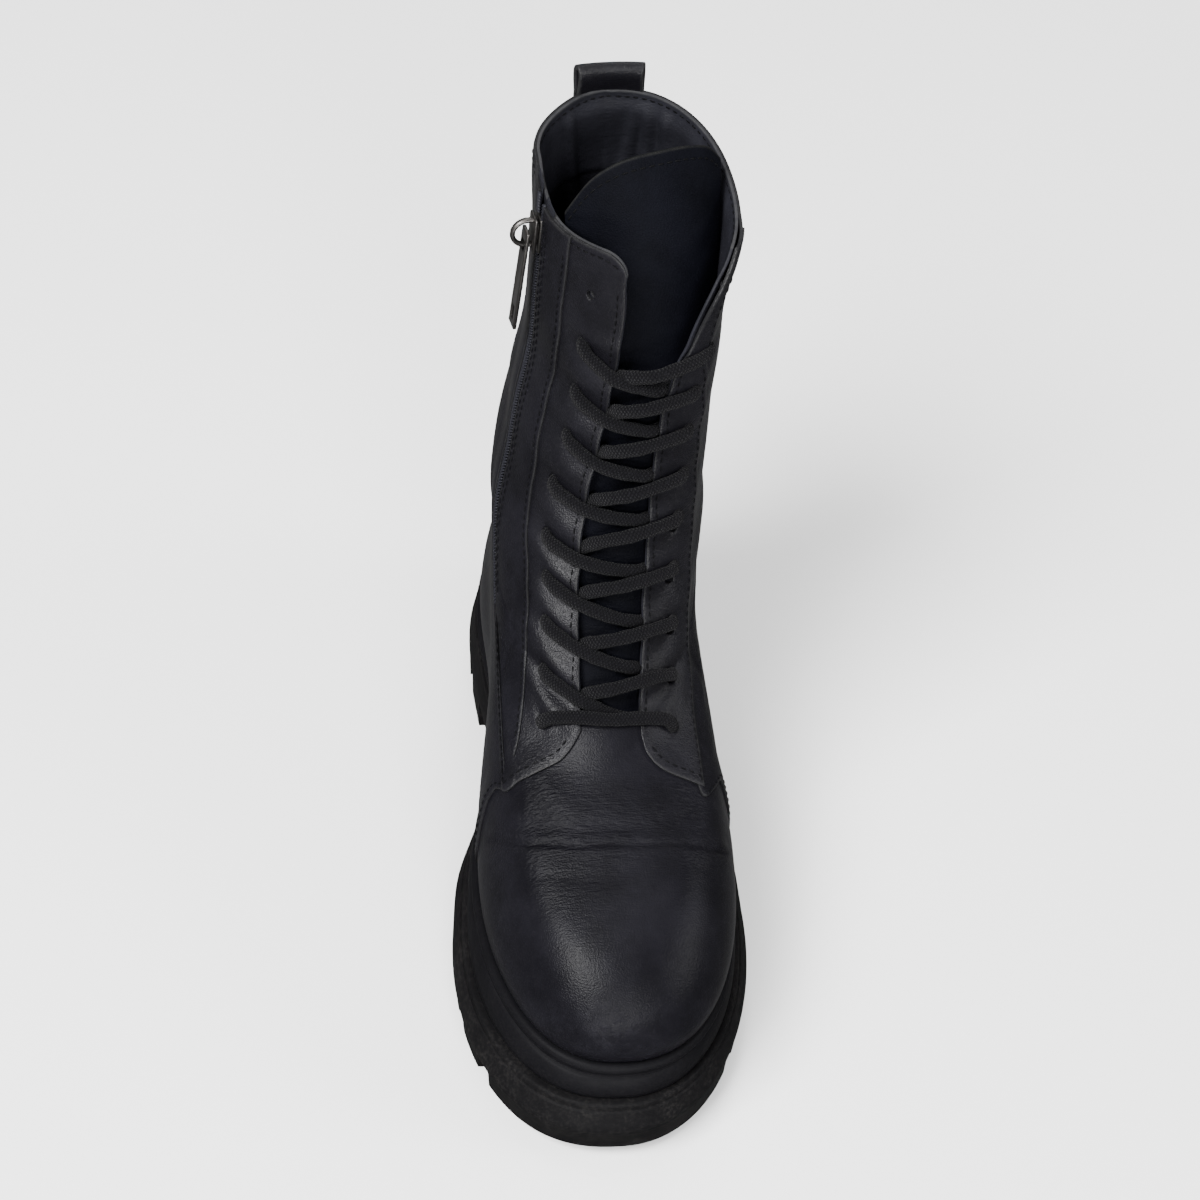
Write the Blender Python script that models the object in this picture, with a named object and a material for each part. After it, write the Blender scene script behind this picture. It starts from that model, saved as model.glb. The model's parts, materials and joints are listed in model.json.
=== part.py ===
"""Left boot of a pair of mid-calf lace-up boots with a side zip, built as a shoemaker would build it.

Run with: blender --background --python part.py
Lengths are in millimetres in the tables and become metres in add_object().
The toe points along -Y, the wearer's left (lateral) side is +X and the floor is Z = 0.
"""
import math

import bmesh
import bpy
import numpy as np
from mathutils import Matrix, Vector

MILLIMETRE = 0.001

# Driving dimensions, mm ------------------------------------------------------------------------
LAST_LENGTH = 270.0      # feather line, toe to heel
BALL_WIDTH = 91.0        # feather line, across the ball
TOE_SEAT = 42.0          # height of the feather line at the toe
HEEL_SEAT = 53.0         # height of the feather line at the heel
INSTEP_RISE = 72.0       # throat above the toe seat
COUNTER_RISE = 92.0      # the same ring at the back, above the heel seat
SHAFT_FRONT = 156.0      # collar front above the throat
SHAFT_BACK = 141.0       # collar back above the counter
SOLE_LENGTH = 296.0
SOLE_BALL_WIDTH = 116.0
TOE_TIP = -148.0         # the sole's foremost point on Y
FEATHER_TOE = -131.0     # the feather line's foremost point on Y
TOE_SPRING = 8.0

UPPER_WALL = 2.4
TONGUE_THICKNESS = 2.4
GAP = 0.3                # between pieces that meet
LACE_DIAMETER = 4.6
COUNTER_V = 0.46         # the ring at the throat and the counter's top; v is explained below

# Upper ------------------------------------------------------------------------------------------
# One row for each girth ring of the upper's outer face, from the feather line (v = 0) to the collar.
# front, back: where the ring starts and ends, % of LAST_LENGTH behind the feather line's toe
# front_up, back_up: height of those points; 0 is the seat, 100 the throat ring, 200 the collar
# dip: mm that the ring hangs below a straight line, at the ball
# lateral, medial: half widths, % of BALL_WIDTH; widest: where, as a fraction of the ring's length
# front_power, back_power: squareness of the two ends; lateral_waist, medial_waist: pinch, mm
# shift: sideways shift of the whole ring, mm; twist: extra shift of its front, less of its back, mm
RING_COLUMNS = ("v", "front", "back", "front_up", "back_up", "dip", "lateral", "medial", "widest",
                "front_power", "back_power", "lateral_waist", "medial_waist", "shift", "twist")
RING_TABLE = np.array([
    (0.00, 0.0, 100.0, 0.0, 0.0, 11.0, 50.5, 49.5, 0.34, 2.35, 2.50, 7, 12, 0.0, 0.0),
    (0.05, -1.5, 100.7, 11.0, 8.7, 10.5, 55.0, 52.5, 0.34, 2.40, 2.50, 7, 11, 0.0, 0.0),
    (0.10, -1.7, 101.5, 23.6, 18.5, 9.0, 56.0, 53.0, 0.35, 2.40, 2.45, 7, 9, 0.0, 0.0),
    (0.15, 0.0, 101.7, 37.5, 30.4, 7.0, 55.0, 51.5, 0.37, 2.30, 2.40, 5, 7, 0.3, 0.0),
    (0.20, 3.7, 101.3, 50.0, 42.4, 4.5, 52.2, 48.5, 0.39, 2.20, 2.35, 4, 5, 0.5, 0.0),
    (0.26, 11.1, 100.4, 61.1, 55.4, 2.5, 49.5, 45.6, 0.42, 2.10, 2.30, 3, 3, 0.8, 0.0),
    (0.32, 20.7, 99.3, 69.4, 68.5, 1.0, 46.7, 43.4, 0.45, 2.05, 2.30, 2, 2, 1.2, 0.0),
    (0.39, 31.1, 98.1, 80.6, 83.7, 0.0, 44.0, 42.3, 0.48, 2.00, 2.30, 1, 1, 2.0, 0.0),
    (COUNTER_V, 40.4, 97.4, 100.0, 100.0, 0.0, 43.4, 42.3, 0.50, 2.00, 2.30, 0, 0, 3.2, 0.5),
    (0.54, 48.1, 96.9, 114.7, 113.5, 0.0, 43.4, 42.6, 0.51, 2.05, 2.30, 0, 0, 5.0, 1.0),
    (0.64, 54.4, 96.7, 132.7, 131.9, 0.0, 40.7, 40.4, 0.51, 2.10, 2.30, 0, 0, 8.5, 2.0),
    (0.76, 58.5, 96.9, 155.1, 154.6, 0.0, 37.8, 37.4, 0.51, 2.15, 2.30, 0, 0, 12.0, 3.0),
    (0.88, 61.1, 97.2, 178.2, 177.3, 0.0, 37.2, 37.2, 0.51, 2.20, 2.30, 0, 0, 13.7, 4.5),
    (1.00, 63.0, 97.8, 200.0, 200.0, 0.0, 38.5, 37.4, 0.50, 2.20, 2.30, 0, 0, 16.0, 6.0),
])
WAIST_AT, WAIST_SPREAD = 0.60, 0.16      # along a ring
DIP_AT, DIP_SPREAD = 0.36, 0.20

# Throat: the two facing edges, mm along the ring from its front centre.
THROAT_V = 0.44
FACING_COLUMNS = ("v", "lateral", "medial")
FACING_TABLE = np.array([
    (0.00, 12.0, 12.0),
    (0.44, 12.0, 12.0),
    (0.52, 12.0, 14.0),
    (0.60, 9.5, 16.5),
    (0.68, 7.5, 17.5),
    (0.76, 6.0, 16.0),
    (0.84, 7.0, 14.0),
    (0.90, 12.5, 13.0),
    (0.96, 22.0, 13.5),
    (1.00, 36.0, 15.0),
])

# Lace holes, bottom to top: ring and mm from the ring's front centre on each side.
EYELET_COLUMNS = ("lateral_v", "lateral", "medial_v", "medial")
EYELET_TABLE = np.array([
    (0.425, 32.0, 0.425, 33.0),
    (0.470, 30.0, 0.470, 32.0),
    (0.518, 27.5, 0.515, 31.0),
    (0.575, 24.0, 0.563, 31.0),
    (0.640, 21.0, 0.617, 33.0),
    (0.702, 20.5, 0.680, 33.0),
    (0.768, 18.5, 0.750, 30.5),
    (0.828, 19.0, 0.815, 29.0),
    (0.885, 24.0, 0.888, 27.5),
    (0.950, 34.0, 0.962, 27.0),
])
LACE_CLEARANCE = 0.8     # to the facings, which the lace's straight facets cut towards
LACED_PAIRS = 9          # the top pair stays empty
LACE_BOW = ((0.42, 0.60, 0.90), (0.035, 0.020, 0.008))    # v, and how far a taut lace bows up there
LACE_BOW_REACH = 32.0    # mm from the middle to where the bow ends
LACE_END_CLEARANCE = 1.4    # from a strand's lower end to the facing that it dives under
CROSSING_DEPTH = {"medial": -0.2, "lateral": -2.6}    # of the strands' middles; minus stands out
TUCK_DEPTH = -0.1        # of a strand's lower end

# Sole -------------------------------------------------------------------------------------------
# Half widths of the outsole's widest line before its two rounded ends, % of SOLE_BALL_WIDTH / 2.
OUTLINE_COLUMNS = ("station", "lateral", "medial")
OUTLINE_TABLE = np.array([
    (0.00, 101.0, 99.0),
    (0.34, 101.0, 99.0),
    (0.43, 100.0, 92.0),
    (0.50, 94.5, 78.0),
    (0.56, 87.0, 67.0),
    (0.63, 79.0, 63.0),
    (0.71, 75.0, 66.5),
    (0.80, 75.0, 70.0),
    (1.00, 75.0, 70.0),
])
TOE_END, TOE_POWER_LATERAL, TOE_POWER_MEDIAL = 0.34, 2.0, 2.5
HEEL_END, HEEL_POWER = 0.80, 2.4

# Heights along the sole, mm: rand = top of the outsole, web = underside between the lugs.
LEVEL_COLUMNS = ("station", "rand", "web")
LEVEL_TABLE = np.array([
    (0.00, 31.0, 17.0),
    (0.10, 26.5, 13.0),
    (0.22, 22.0, 10.0),
    (0.38, 21.0, 10.0),
    (0.50, 24.5, 12.5),
    (0.62, 30.5, 18.0),
    (0.72, 34.5, 16.0),
    (0.85, 37.0, 13.0),
    (1.00, 38.0, 14.0),
])
SPRING_START = -89.0     # Y where the tread begins to rise towards the toe
HEEL_BREAST = 67.0       # Y of the heel's front face
FOREFOOT_END = 9.0       # Y where the forefoot's lugs end
LUG_GAP = 6.0
FOREFOOT_GAPS = (-108.0, -81.0, -54.0, -27.0)    # Y of the gaps' middles
TOE_SPRING_POWER = 1.6   # above 1 the rise starts gently
RAND_BEVEL = 1.4         # drop from the rand's flat top to its edge
WIDEST_AT = 0.3          # the side wall's widest line, as a share of the way from web to rand
HEEL_GAPS = (93.0, 119.0)
TREAD_COLUMNS = (0.50, 0.34)                     # channels between edge and middle lugs

# How far out each line of the sole lies: 0 is the feather line, 1 the outsole's widest line.
SPREAD = {"rand_inner": 0.50, "rand_top": 0.66, "rand_edge": 0.73, "widest": 1.0, "web": 0.97,
          "tread": 0.92, "mid_bottom": 0.50, "mid_bulge": 0.56, "mid_shoulder": 0.47,
          "mid_top": 0.36, "welt_outer": 0.34}
WELT_HEIGHT = 3.6
WELT_BASE = 0.2          # underside of the welt above the feather line
WELT_WIDTH = ((0.0, 0.38, 0.55, 0.75, 1.0), (5.2, 5.0, 3.6, 3.8, 4.2))    # station, and mm there
WELT_CLEARANCE = 0.45    # to the upper, along its facets
WELT_ROLL = 0.3          # bulge of the welt's outer edge
WELT_SHOULDER = 1.0      # how far its top lies inside its outer edge
INSOLE_THICKNESS = 3.0
INSOLE_CLEARANCE = 1.8   # to the wall inside, as its facets turn on other lines

# Tongue -----------------------------------------------------------------------------------------
# lateral, medial: its two edges, mm from the ring's front centre; lean: 0 lies under the throat,
# 1 is flat across the shaft; rise: mm that its middle stands above its edges
TONGUE_COLUMNS = ("v", "lateral", "medial", "lean", "rise")
TONGUE_TABLE = np.array([
    (0.36, 22, 22, 0.00, 0),
    (0.44, 28, 27, 0.00, 0),
    (0.54, 30, 29, 0.00, 0),
    (0.64, 31, 32, 0.00, 0),
    (0.72, 32, 35, 0.06, 0),
    (0.80, 35, 38, 0.20, 0),
    (0.90, 44, 44, 0.52, 2),
    (1.00, 60, 52, 0.90, 7),
])
TONGUE_ROWS, TONGUE_FACETS = 15, 10
TONGUE_CLEARANCE = 0.75  # under the upper's inner face, which its facets cut towards

# Small parts ------------------------------------------------------------------------------------
PULL_LOOP_WIDTH = 25.0
PULL_LOOP_THICKNESS = 2.0
PULL_LOOP_RISE = 18.0    # above the collar
PULL_LOOP_SWELL = 2.0    # how far the loop opens above its tails, for a finger
PULL_LOOP_TAIL = 24.0    # sewn down below the collar, outside and inside
PULL_LOOP_REST = 0.6     # from the upper's skins to the strap, along their facets
PULL_LOOP_FLATTEN = 0.75    # how much of the collar's curve the strap loses at the top of its arch
PULL_LOOP_POWER = 0.7    # below 1 the arch is squarer than half an ellipse
PULL_LOOP_TOP_V = 0.995  # ring where the strap leaves the upper
PULL_LOOP_COLUMNS, PULL_LOOP_ARCH_ROWS = 5, 10

# The zip's line up the medial side, mm from the ring's front centre.
ZIP_COLUMNS = ("v", "medial")
ZIP_TABLE = np.array([
    (0.41, 90.0),
    (0.46, 85.5),
    (0.54, 79.0),
    (0.64, 72.5),
    (0.76, 67.0),
    (0.88, 64.0),
    (1.00, 62.5),
])
ZIP_COIL_WIDTH, ZIP_COIL_THICKNESS = 5.0, 1.8
ZIP_COIL_REST = 0.5      # underside of the coil above the upper
COIL_TO_SLIDER = 1.0     # from the coil's top end to the slider, along the upper
SLIDER_V = 0.948
MEDIAL_MM_PER_V = 274.0  # length of the zip's line for each unit of v, near the collar
SLIDER_LENGTH, SLIDER_WIDTH, SLIDER_THICKNESS = 14.0, 8.0, 3.2
BRIDGE_RADIUS, BRIDGE_WIRE = 5.2, 1.9
SLIDER_REST = 0.5        # underside of the slider above the upper
SLIDER_CORNER = 1.6
BRIDGE_SINK = 1.0        # how high in the slider's body the bridge's feet start
AXIS_ABOVE_SLIDER = 1.8  # the pull's axis above the slider's top
PULL_LENGTH, PULL_WIDTH, PULL_THICKNESS = 44.0, 7.0, 1.4
PULL_HEAD, PULL_HEAD_CORNER = 1.1, (1.2, 2.1)    # head above the axis; its corners' width, height
PULL_FOOT_CORNER = (1.5, 3.0)                    # the same for the corners at the free end
EYE_CLEARANCE = 1.5      # half the length of the pull's eye
EYE_WIDTH = 3.2
PULL_TILT = 5.0          # degrees that the hanging pull stands off the slider's face

# Counts of facets.
SHAFT_ROWS = (0.0, 0.035, 0.07, 0.105, 0.14, 0.175, 0.21, 0.25, 0.30, 0.35, 0.395, THROAT_V,
              0.48, 0.53, 0.59, 0.66, 0.73, 0.80, 0.87, 0.935, 1.0)
SIDE_FACETS, BACK_FACETS, FRONT_FACETS = 9, 11, 8
SOLE_FACETS = 30         # down each side of the sole's outline


# Curves and surfaces ----------------------------------------------------------------------------
def smooth_table(table, at):
    """Read a table whose first column is the station with a cubic curve through its rows."""
    stations, values = table[:, 0], table[:, 1:]
    slopes = np.gradient(values, stations, axis=0)
    at = float(np.clip(at, stations[0], stations[-1]))
    row = int(np.clip(np.searchsorted(stations, at, side="right") - 1, 0, len(stations) - 2))
    step = stations[row + 1] - stations[row]
    t = (at - stations[row]) / step
    start, end = values[row], values[row + 1]
    return (start * (1 + 2 * t) * (1 - t) ** 2 + slopes[row] * step * t * (1 - t) ** 2
            + end * t * t * (3 - 2 * t) + slopes[row + 1] * step * t * t * (t - 1))


def ring_values(v):
    """Return the ring's named values at v, in mm."""
    ring = dict(zip(RING_COLUMNS[1:], smooth_table(RING_TABLE, v)))
    for end in ("front", "back"):
        ring[end] = FEATHER_TOE + LAST_LENGTH * ring[end] / 100
    rises = {"front_up": (TOE_SEAT, INSTEP_RISE, SHAFT_FRONT),
             "back_up": (HEEL_SEAT, COUNTER_RISE, SHAFT_BACK)}
    for end, (seat, below, above) in rises.items():
        share = ring[end] / 100
        ring[end] = seat + below * min(share, 1.0) + above * max(share - 1.0, 0.0)
    for side in ("lateral", "medial"):
        ring[side] = BALL_WIDTH * ring[side] / 100
    return ring


def half_ring(ring, side):
    """Return two lobes of the half ring, each as running length, station and half width."""
    length = math.hypot(ring["back"] - ring["front"], ring["back_up"] - ring["front_up"])
    t = np.linspace(0, math.pi / 2, 200)
    lobes = []
    for power, base, span in ((ring["front_power"], 0.0, ring["widest"]),
                              (ring["back_power"], 1.0, ring["widest"] - 1.0)):
        station = base + span * (1 - np.cos(t) ** (2 / power))
        across = np.sin(t) ** (2 / power)
        waist = np.exp(-((station - WAIST_AT) / WAIST_SPREAD) ** 2) * ring[side + "_waist"]
        width = (ring[side] - waist) * across
        steps = np.hypot(np.diff(station) * length, np.diff(width))
        lobes.append((np.concatenate([[0.0], np.cumsum(steps)]), station, width))
    return lobes


def ring_point(ring, station, width):
    """Turn a station along the ring and a signed half width into mm coordinates."""
    sag = ring["dip"] * np.exp(-((station - DIP_AT) / DIP_SPREAD) ** 2)
    x = width + ring["shift"] + ring["twist"] * (1 - 2 * station)
    y = ring["front"] + station * (ring["back"] - ring["front"])
    z = ring["front_up"] + station * (ring["back_up"] - ring["front_up"]) - sag
    return np.stack([x, y, z], axis=-1)


def ring_points(v, around):
    """Points of the ring at v; around runs 0 at the front to +1 (lateral) or -1 (medial) at the back."""
    ring = ring_values(v)
    around = np.asarray(around, float)
    station, width = np.zeros_like(around), np.zeros_like(around)
    for side, sign in (("lateral", 1.0), ("medial", -1.0)):
        (front, front_s, front_w), (back, back_s, back_w) = half_ring(ring, side)
        q = np.clip(np.abs(around), 0, 1)
        ahead, behind = q * 2 * front[-1], (1 - q) * 2 * back[-1]
        s = np.where(q <= 0.5, np.interp(ahead, front, front_s), np.interp(behind, back, back_s))
        w = np.where(q <= 0.5, np.interp(ahead, front, front_w), np.interp(behind, back, back_w))
        here = around >= 0 if sign > 0 else around < 0
        station[here], width[here] = s[here], sign * w[here]
    return ring_point(ring, station, width)


def around_at(v, distance):
    """Turn mm along the ring from its front centre, + lateral and - medial, into around."""
    side = "lateral" if distance >= 0 else "medial"
    front, back = half_ring(ring_values(v), side)
    length = abs(distance)
    if length <= front[0][-1]:
        around = 0.5 * length / front[0][-1]
    else:
        around = 0.5 + 0.5 * (length - front[0][-1]) / back[0][-1]
    return math.copysign(around, distance)


def upper_face(v, around, depth=0.0):
    """Points at a depth in mm under the upper's outer face; a minus depth stands off it."""
    around = np.asarray(around, float)
    step_v, step_u = 0.004, 0.006
    low, high = max(v - step_v, 0.0), min(v + step_v, 1.0)
    up = ring_points(high, around) - ring_points(low, around)
    ahead, behind = np.clip(around + step_u, -1, 1), np.clip(around - step_u, -1, 1)
    along = ring_points(v, ahead) - ring_points(v, behind)
    along[np.abs(around) > 1 - step_u] = (-1.0, 0.0, 0.0)
    normal = np.cross(along, up)
    normal /= np.linalg.norm(normal, axis=-1, keepdims=True)
    return ring_points(v, around) - normal * depth


# Sole lines -------------------------------------------------------------------------------------
def rounded_end(share, power):
    """Half width of a rounded end, from 0 at its tip (share = 0) to 1 where it meets the side."""
    return (1 - (1 - min(max(share, 0.0), 1.0)) ** power) ** (1 / power)


def outline_width(station, side):
    """Half width in mm of the outsole's widest line."""
    width = dict(zip(OUTLINE_COLUMNS[1:], smooth_table(OUTLINE_TABLE, station)))[side]
    toe_power = TOE_POWER_LATERAL if side == "lateral" else TOE_POWER_MEDIAL
    toe = rounded_end(station / TOE_END, toe_power)
    heel = rounded_end((1 - station) / (1 - HEEL_END), HEEL_POWER)
    return width / 100 * SOLE_BALL_WIDTH / 2 * toe * heel


def feather_width(station, side):
    """Half width in mm of the feather line."""
    (_, front_s, front_w), (_, back_s, back_w) = half_ring(ring_values(0.0), side)
    if station <= front_s[-1]:
        return float(np.interp(station, front_s, front_w))
    return float(np.interp(station, back_s[::-1], back_w[::-1]))


def seat(station):
    """Height in mm of the feather line."""
    return float(ring_point(ring_values(0.0), station, 0.0)[2])


def levels(station):
    """Heights in mm of the outsole's top and of its underside between the lugs."""
    return dict(zip(LEVEL_COLUMNS[1:], smooth_table(LEVEL_TABLE, station)))


def tread_height(y):
    """Height in mm of the tread, which rises only towards the toe."""
    share = max(0.0, (SPRING_START - y) / (SPRING_START - TOE_TIP))
    return TOE_SPRING * share ** TOE_SPRING_POWER


def sole_point(station, side, spread, height):
    """A point in mm between the feather line (spread 0) and the widest line (spread 1)."""
    sign = 1.0 if side == "lateral" else -1.0
    inner, outer = feather_width(station, side), outline_width(station, side)
    inner_y = FEATHER_TOE + station * LAST_LENGTH
    outer_y = TOE_TIP + station * SOLE_LENGTH
    x = sign * (inner + (outer - inner) * spread)
    return (x, inner_y + (outer_y - inner_y) * spread, height)


def sole_loop(stations, spread, height):
    """A closed loop, toe to heel on the lateral side and back on the medial side."""
    lateral = [sole_point(s, "lateral", spread, height(s)) for s in stations]
    medial = [sole_point(s, "medial", spread, height(s)) for s in stations[1:-1]]
    return lateral + medial[::-1]


def even_stations(count):
    """Stations close together at the two ends, where the outline turns."""
    return [(1 - math.cos(math.pi * i / count)) / 2 for i in range(count + 1)]


# Mesh tools -------------------------------------------------------------------------------------
def make_material(name, colour, roughness, metallic=0.0):
    """Return a plain Principled material."""
    material = bpy.data.materials.new(name)
    material.use_nodes = True
    shader = material.node_tree.nodes["Principled BSDF"]
    shader.inputs["Base Color"].default_value = (*colour, 1.0)
    shader.inputs["Roughness"].default_value = roughness
    shader.inputs["Metallic"].default_value = metallic
    material.diffuse_color = (*colour, 1.0)
    return material


def add_object(name, vertices, faces, material, origin=(0.0, 0.0, 0.0)):
    """Make one object from mm coordinates, with its origin at a mm point."""
    centre = np.asarray(origin, float)
    points = (np.asarray(vertices, float) - centre) * MILLIMETRE
    mesh = bpy.data.meshes.new(name)
    mesh.from_pydata([tuple(point) for point in points], [], faces)
    form = bmesh.new()
    form.from_mesh(mesh)
    bmesh.ops.remove_doubles(form, verts=form.verts, dist=1e-6)
    bmesh.ops.recalc_face_normals(form, faces=form.faces)
    form.to_mesh(mesh)
    form.free()
    mesh.materials.append(material)
    thing = bpy.data.objects.new(name, mesh)
    thing.location = centre * MILLIMETRE
    bpy.context.collection.objects.link(thing)
    return thing


def ladder(loop):
    """Faces that close a loop of this many points with rungs from side to side."""
    count = len(loop)
    half = count // 2
    faces = [(loop[0], loop[1], loop[-1]), (loop[half], loop[half + 1], loop[half - 1])]
    for i in range(1, half - 1):
        faces.append((loop[i], loop[i + 1], loop[count - i - 1], loop[count - i]))
    return faces


def stack_loops(loops):
    """Vertices and faces of a closed body through loops of equal length, with ladders on both ends."""
    count = len(loops[0])
    vertices = [point for loop in loops for point in loop]
    faces = []
    for k in range(len(loops) - 1):
        for i in range(count):
            j = (i + 1) % count
            faces.append((k * count + i, k * count + j, (k + 1) * count + j, (k + 1) * count + i))
    faces += ladder(list(range(count)))
    faces += ladder([(len(loops) - 1) * count + i for i in range(count)])
    return vertices, faces


def ring_of_sections(sections):
    """Vertices and faces of a closed ring swept through sections of equal length."""
    count = len(sections[0])
    vertices = [point for section in sections for point in section]
    faces = []
    for k in range(len(sections)):
        after = (k + 1) % len(sections)
        for i in range(count):
            j = (i + 1) % count
            faces.append((k * count + i, k * count + j, after * count + j, after * count + i))
    return vertices, faces


def grid_normals(grid):
    """Unit normals of a grid of points."""
    along = np.gradient(grid, axis=1)
    up = np.gradient(grid, axis=0)
    normal = np.cross(along, up)
    return normal / np.linalg.norm(normal, axis=-1, keepdims=True)


def sheet(grid, thickness):
    """Vertices and faces of a closed sheet whose middle surface is a grid of points."""
    grid = np.asarray(grid, float)
    rows, columns = grid.shape[:2]
    offset = grid_normals(grid) * thickness / 2
    vertices = np.concatenate([(grid + offset).reshape(-1, 3), (grid - offset).reshape(-1, 3)])
    under = rows * columns
    faces = []
    for r in range(rows - 1):
        for c in range(columns - 1):
            a, b = r * columns + c, (r + 1) * columns + c
            faces.append((a, a + 1, b + 1, b))
            faces.append((under + a, under + b, under + b + 1, under + a + 1))
    edge = [c for c in range(columns)]
    edge += [r * columns + columns - 1 for r in range(1, rows)]
    edge += [(rows - 1) * columns + c for c in range(columns - 2, -1, -1)]
    edge += [r * columns for r in range(rows - 2, 0, -1)]
    for i, a in enumerate(edge):
        b = edge[(i + 1) % len(edge)]
        faces.append((a, under + a, under + b, b))
    return vertices, faces


def tube(points, radius, sides=8):
    """Vertices and faces of a round cord through mm points, closed at both ends."""
    points = np.asarray(points, float)
    ahead = np.gradient(points, axis=0)
    ahead /= np.linalg.norm(ahead, axis=1, keepdims=True)
    across = np.cross(ahead, (0.0, 0.0, 1.0))
    across /= np.linalg.norm(across, axis=1, keepdims=True)
    above = np.cross(across, ahead)
    vertices = []
    for k, point in enumerate(points):
        for i in range(sides):
            angle = 2 * math.pi * i / sides
            vertices.append(point + radius * (math.cos(angle) * across[k] + math.sin(angle) * above[k]))
    faces = [tuple(range(sides)), tuple(range((len(points) - 1) * sides, len(points) * sides))]
    for k in range(len(points) - 1):
        for i in range(sides):
            j = (i + 1) % sides
            faces.append((k * sides + i, k * sides + j, (k + 1) * sides + j, (k + 1) * sides + i))
    return vertices, faces


# Pieces -----------------------------------------------------------------------------------------
def lug_rows():
    """Stations of the outsole's cross rows, each with the kind of cells that follow it."""
    toe_start, toe_end = TOE_TIP, FOREFOOT_GAPS[0] - LUG_GAP / 2
    rows = [(toe_start + (toe_end - toe_start) * (k / 6) ** 2, "whole") for k in range(6)]
    for gaps, end in ((FOREFOOT_GAPS, FOREFOOT_END), (HEEL_GAPS, None)):
        if end is None:
            rows.append((HEEL_BREAST, "lugs"))
            rows.append(((HEEL_BREAST + gaps[0] - LUG_GAP / 2) / 2, "lugs"))
        for k, gap in enumerate(gaps):
            rows.append((gap - LUG_GAP / 2, "web"))
            start = gap + LUG_GAP / 2
            last = k == len(gaps) - 1
            stop = end if last else gaps[k + 1] - LUG_GAP / 2
            if stop is None:
                break
            rows.append((start, "lugs"))
            rows.append(((start + stop) / 2, "lugs"))
        if end is not None:
            rows.append((end, "web"))
            rows.append((end + (HEEL_BREAST - end) / 3, "web"))
            rows.append((end + (HEEL_BREAST - end) * 2 / 3, "web"))
    heel_start, heel_end = HEEL_GAPS[-1] + LUG_GAP / 2, TOE_TIP + SOLE_LENGTH
    rows += [(heel_end - (heel_end - heel_start) * (1 - k / 6) ** 2, "whole") for k in range(7)]
    return [((y - TOE_TIP) / SOLE_LENGTH, kind) for y, kind in rows]


def outsole(material):
    """The rubber outsole: rand, side wall and lugs on a thinner web, in one body."""
    rows = lug_rows()
    stations = [row[0] for row in rows]
    heights = {
        "rand_inner": lambda s: levels(s)["rand"],
        "rand_top": lambda s: levels(s)["rand"],
        "rand_edge": lambda s: levels(s)["rand"] - RAND_BEVEL,
        "widest": lambda s: levels(s)["web"] + WIDEST_AT * (levels(s)["rand"] - levels(s)["web"]),
        "web": lambda s: levels(s)["web"],
    }
    vertices, faces = [], []
    loops = []
    for name, height in heights.items():
        loop = sole_loop(stations, SPREAD[name], height)
        loops.append(range(len(vertices), len(vertices) + len(loop)))
        vertices += loop
    count = len(loops[0])
    for upper_loop, lower_loop in zip(loops, loops[1:]):
        for i in range(count):
            j = (i + 1) % count
            faces.append((upper_loop[i], upper_loop[j], lower_loop[j], lower_loop[i]))
    faces += ladder(list(loops[0]))

    columns = (1.0, *TREAD_COLUMNS, *(-share for share in TREAD_COLUMNS[::-1]), -1.0)
    last_row = len(rows) - 1
    known = {}

    def corner(level, row, column):
        """Index of a vertex of the underside; the rows at both tips are one point."""
        if row in (0, last_row):
            column = 0
        if level == "web" and column in (0, len(columns) - 1):
            return loops[-1][row] if column == 0 else loops[-1][(count - row) % count]
        key = (level, row, column)
        if key not in known:
            station, share = stations[row], columns[column]
            side = "lateral" if share > 0 else "medial"
            x, y, _ = sole_point(station, side, SPREAD[level], 0.0)
            z = tread_height(y) if level == "tread" else levels(station)["web"]
            known[key] = len(vertices)
            vertices.append((x * abs(share), y, z))
        return known[key]

    def is_lug(row, column):
        """Whether the cell after this row stands down to the tread."""
        if not (0 <= row < last_row and 0 <= column < len(columns) - 1):
            return False
        kind = rows[row][1]
        return kind == "whole" or (kind == "lugs" and column % 2 == 0)

    for row in range(last_row):
        for column in range(len(columns) - 1):
            lug = is_lug(row, column)
            level = "tread" if lug else "web"
            cell = [(row, column), (row + 1, column), (row + 1, column + 1), (row, column + 1)]
            faces.append([corner(level, *place) for place in cell])
            if not lug:
                continue
            beside = [(row, column - 1), (row + 1, column), (row, column + 1), (row - 1, column)]
            for k, neighbour in enumerate(beside):
                if not is_lug(*neighbour):
                    a, b = cell[k], cell[(k + 1) % 4]
                    faces.append([corner("tread", *a), corner("tread", *b),
                                  corner("web", *b), corner("web", *a)])
    clean = []
    for face in faces:
        corners = list(dict.fromkeys(face))
        if len(corners) > 2:
            clean.append(corners)
    return add_object("outsole", vertices, clean, material)


def midsole(material):
    """The soft midsole between outsole and welt, with a rolled side."""
    stations = even_stations(SOLE_FACETS)

    def part_way(share):
        """Height at a share of the way from the outsole's top to the feather line."""
        return lambda s: levels(s)["rand"] + GAP + (seat(s) - 3 * GAP - levels(s)["rand"]) * share

    lines = (("mid_bottom", 0.0), ("mid_bulge", 0.35), ("mid_shoulder", 0.8), ("mid_top", 1.0))
    loops = [sole_loop(stations, SPREAD[name], part_way(share)) for name, share in lines]
    return add_object("midsole", *stack_loops(loops), material)


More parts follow.
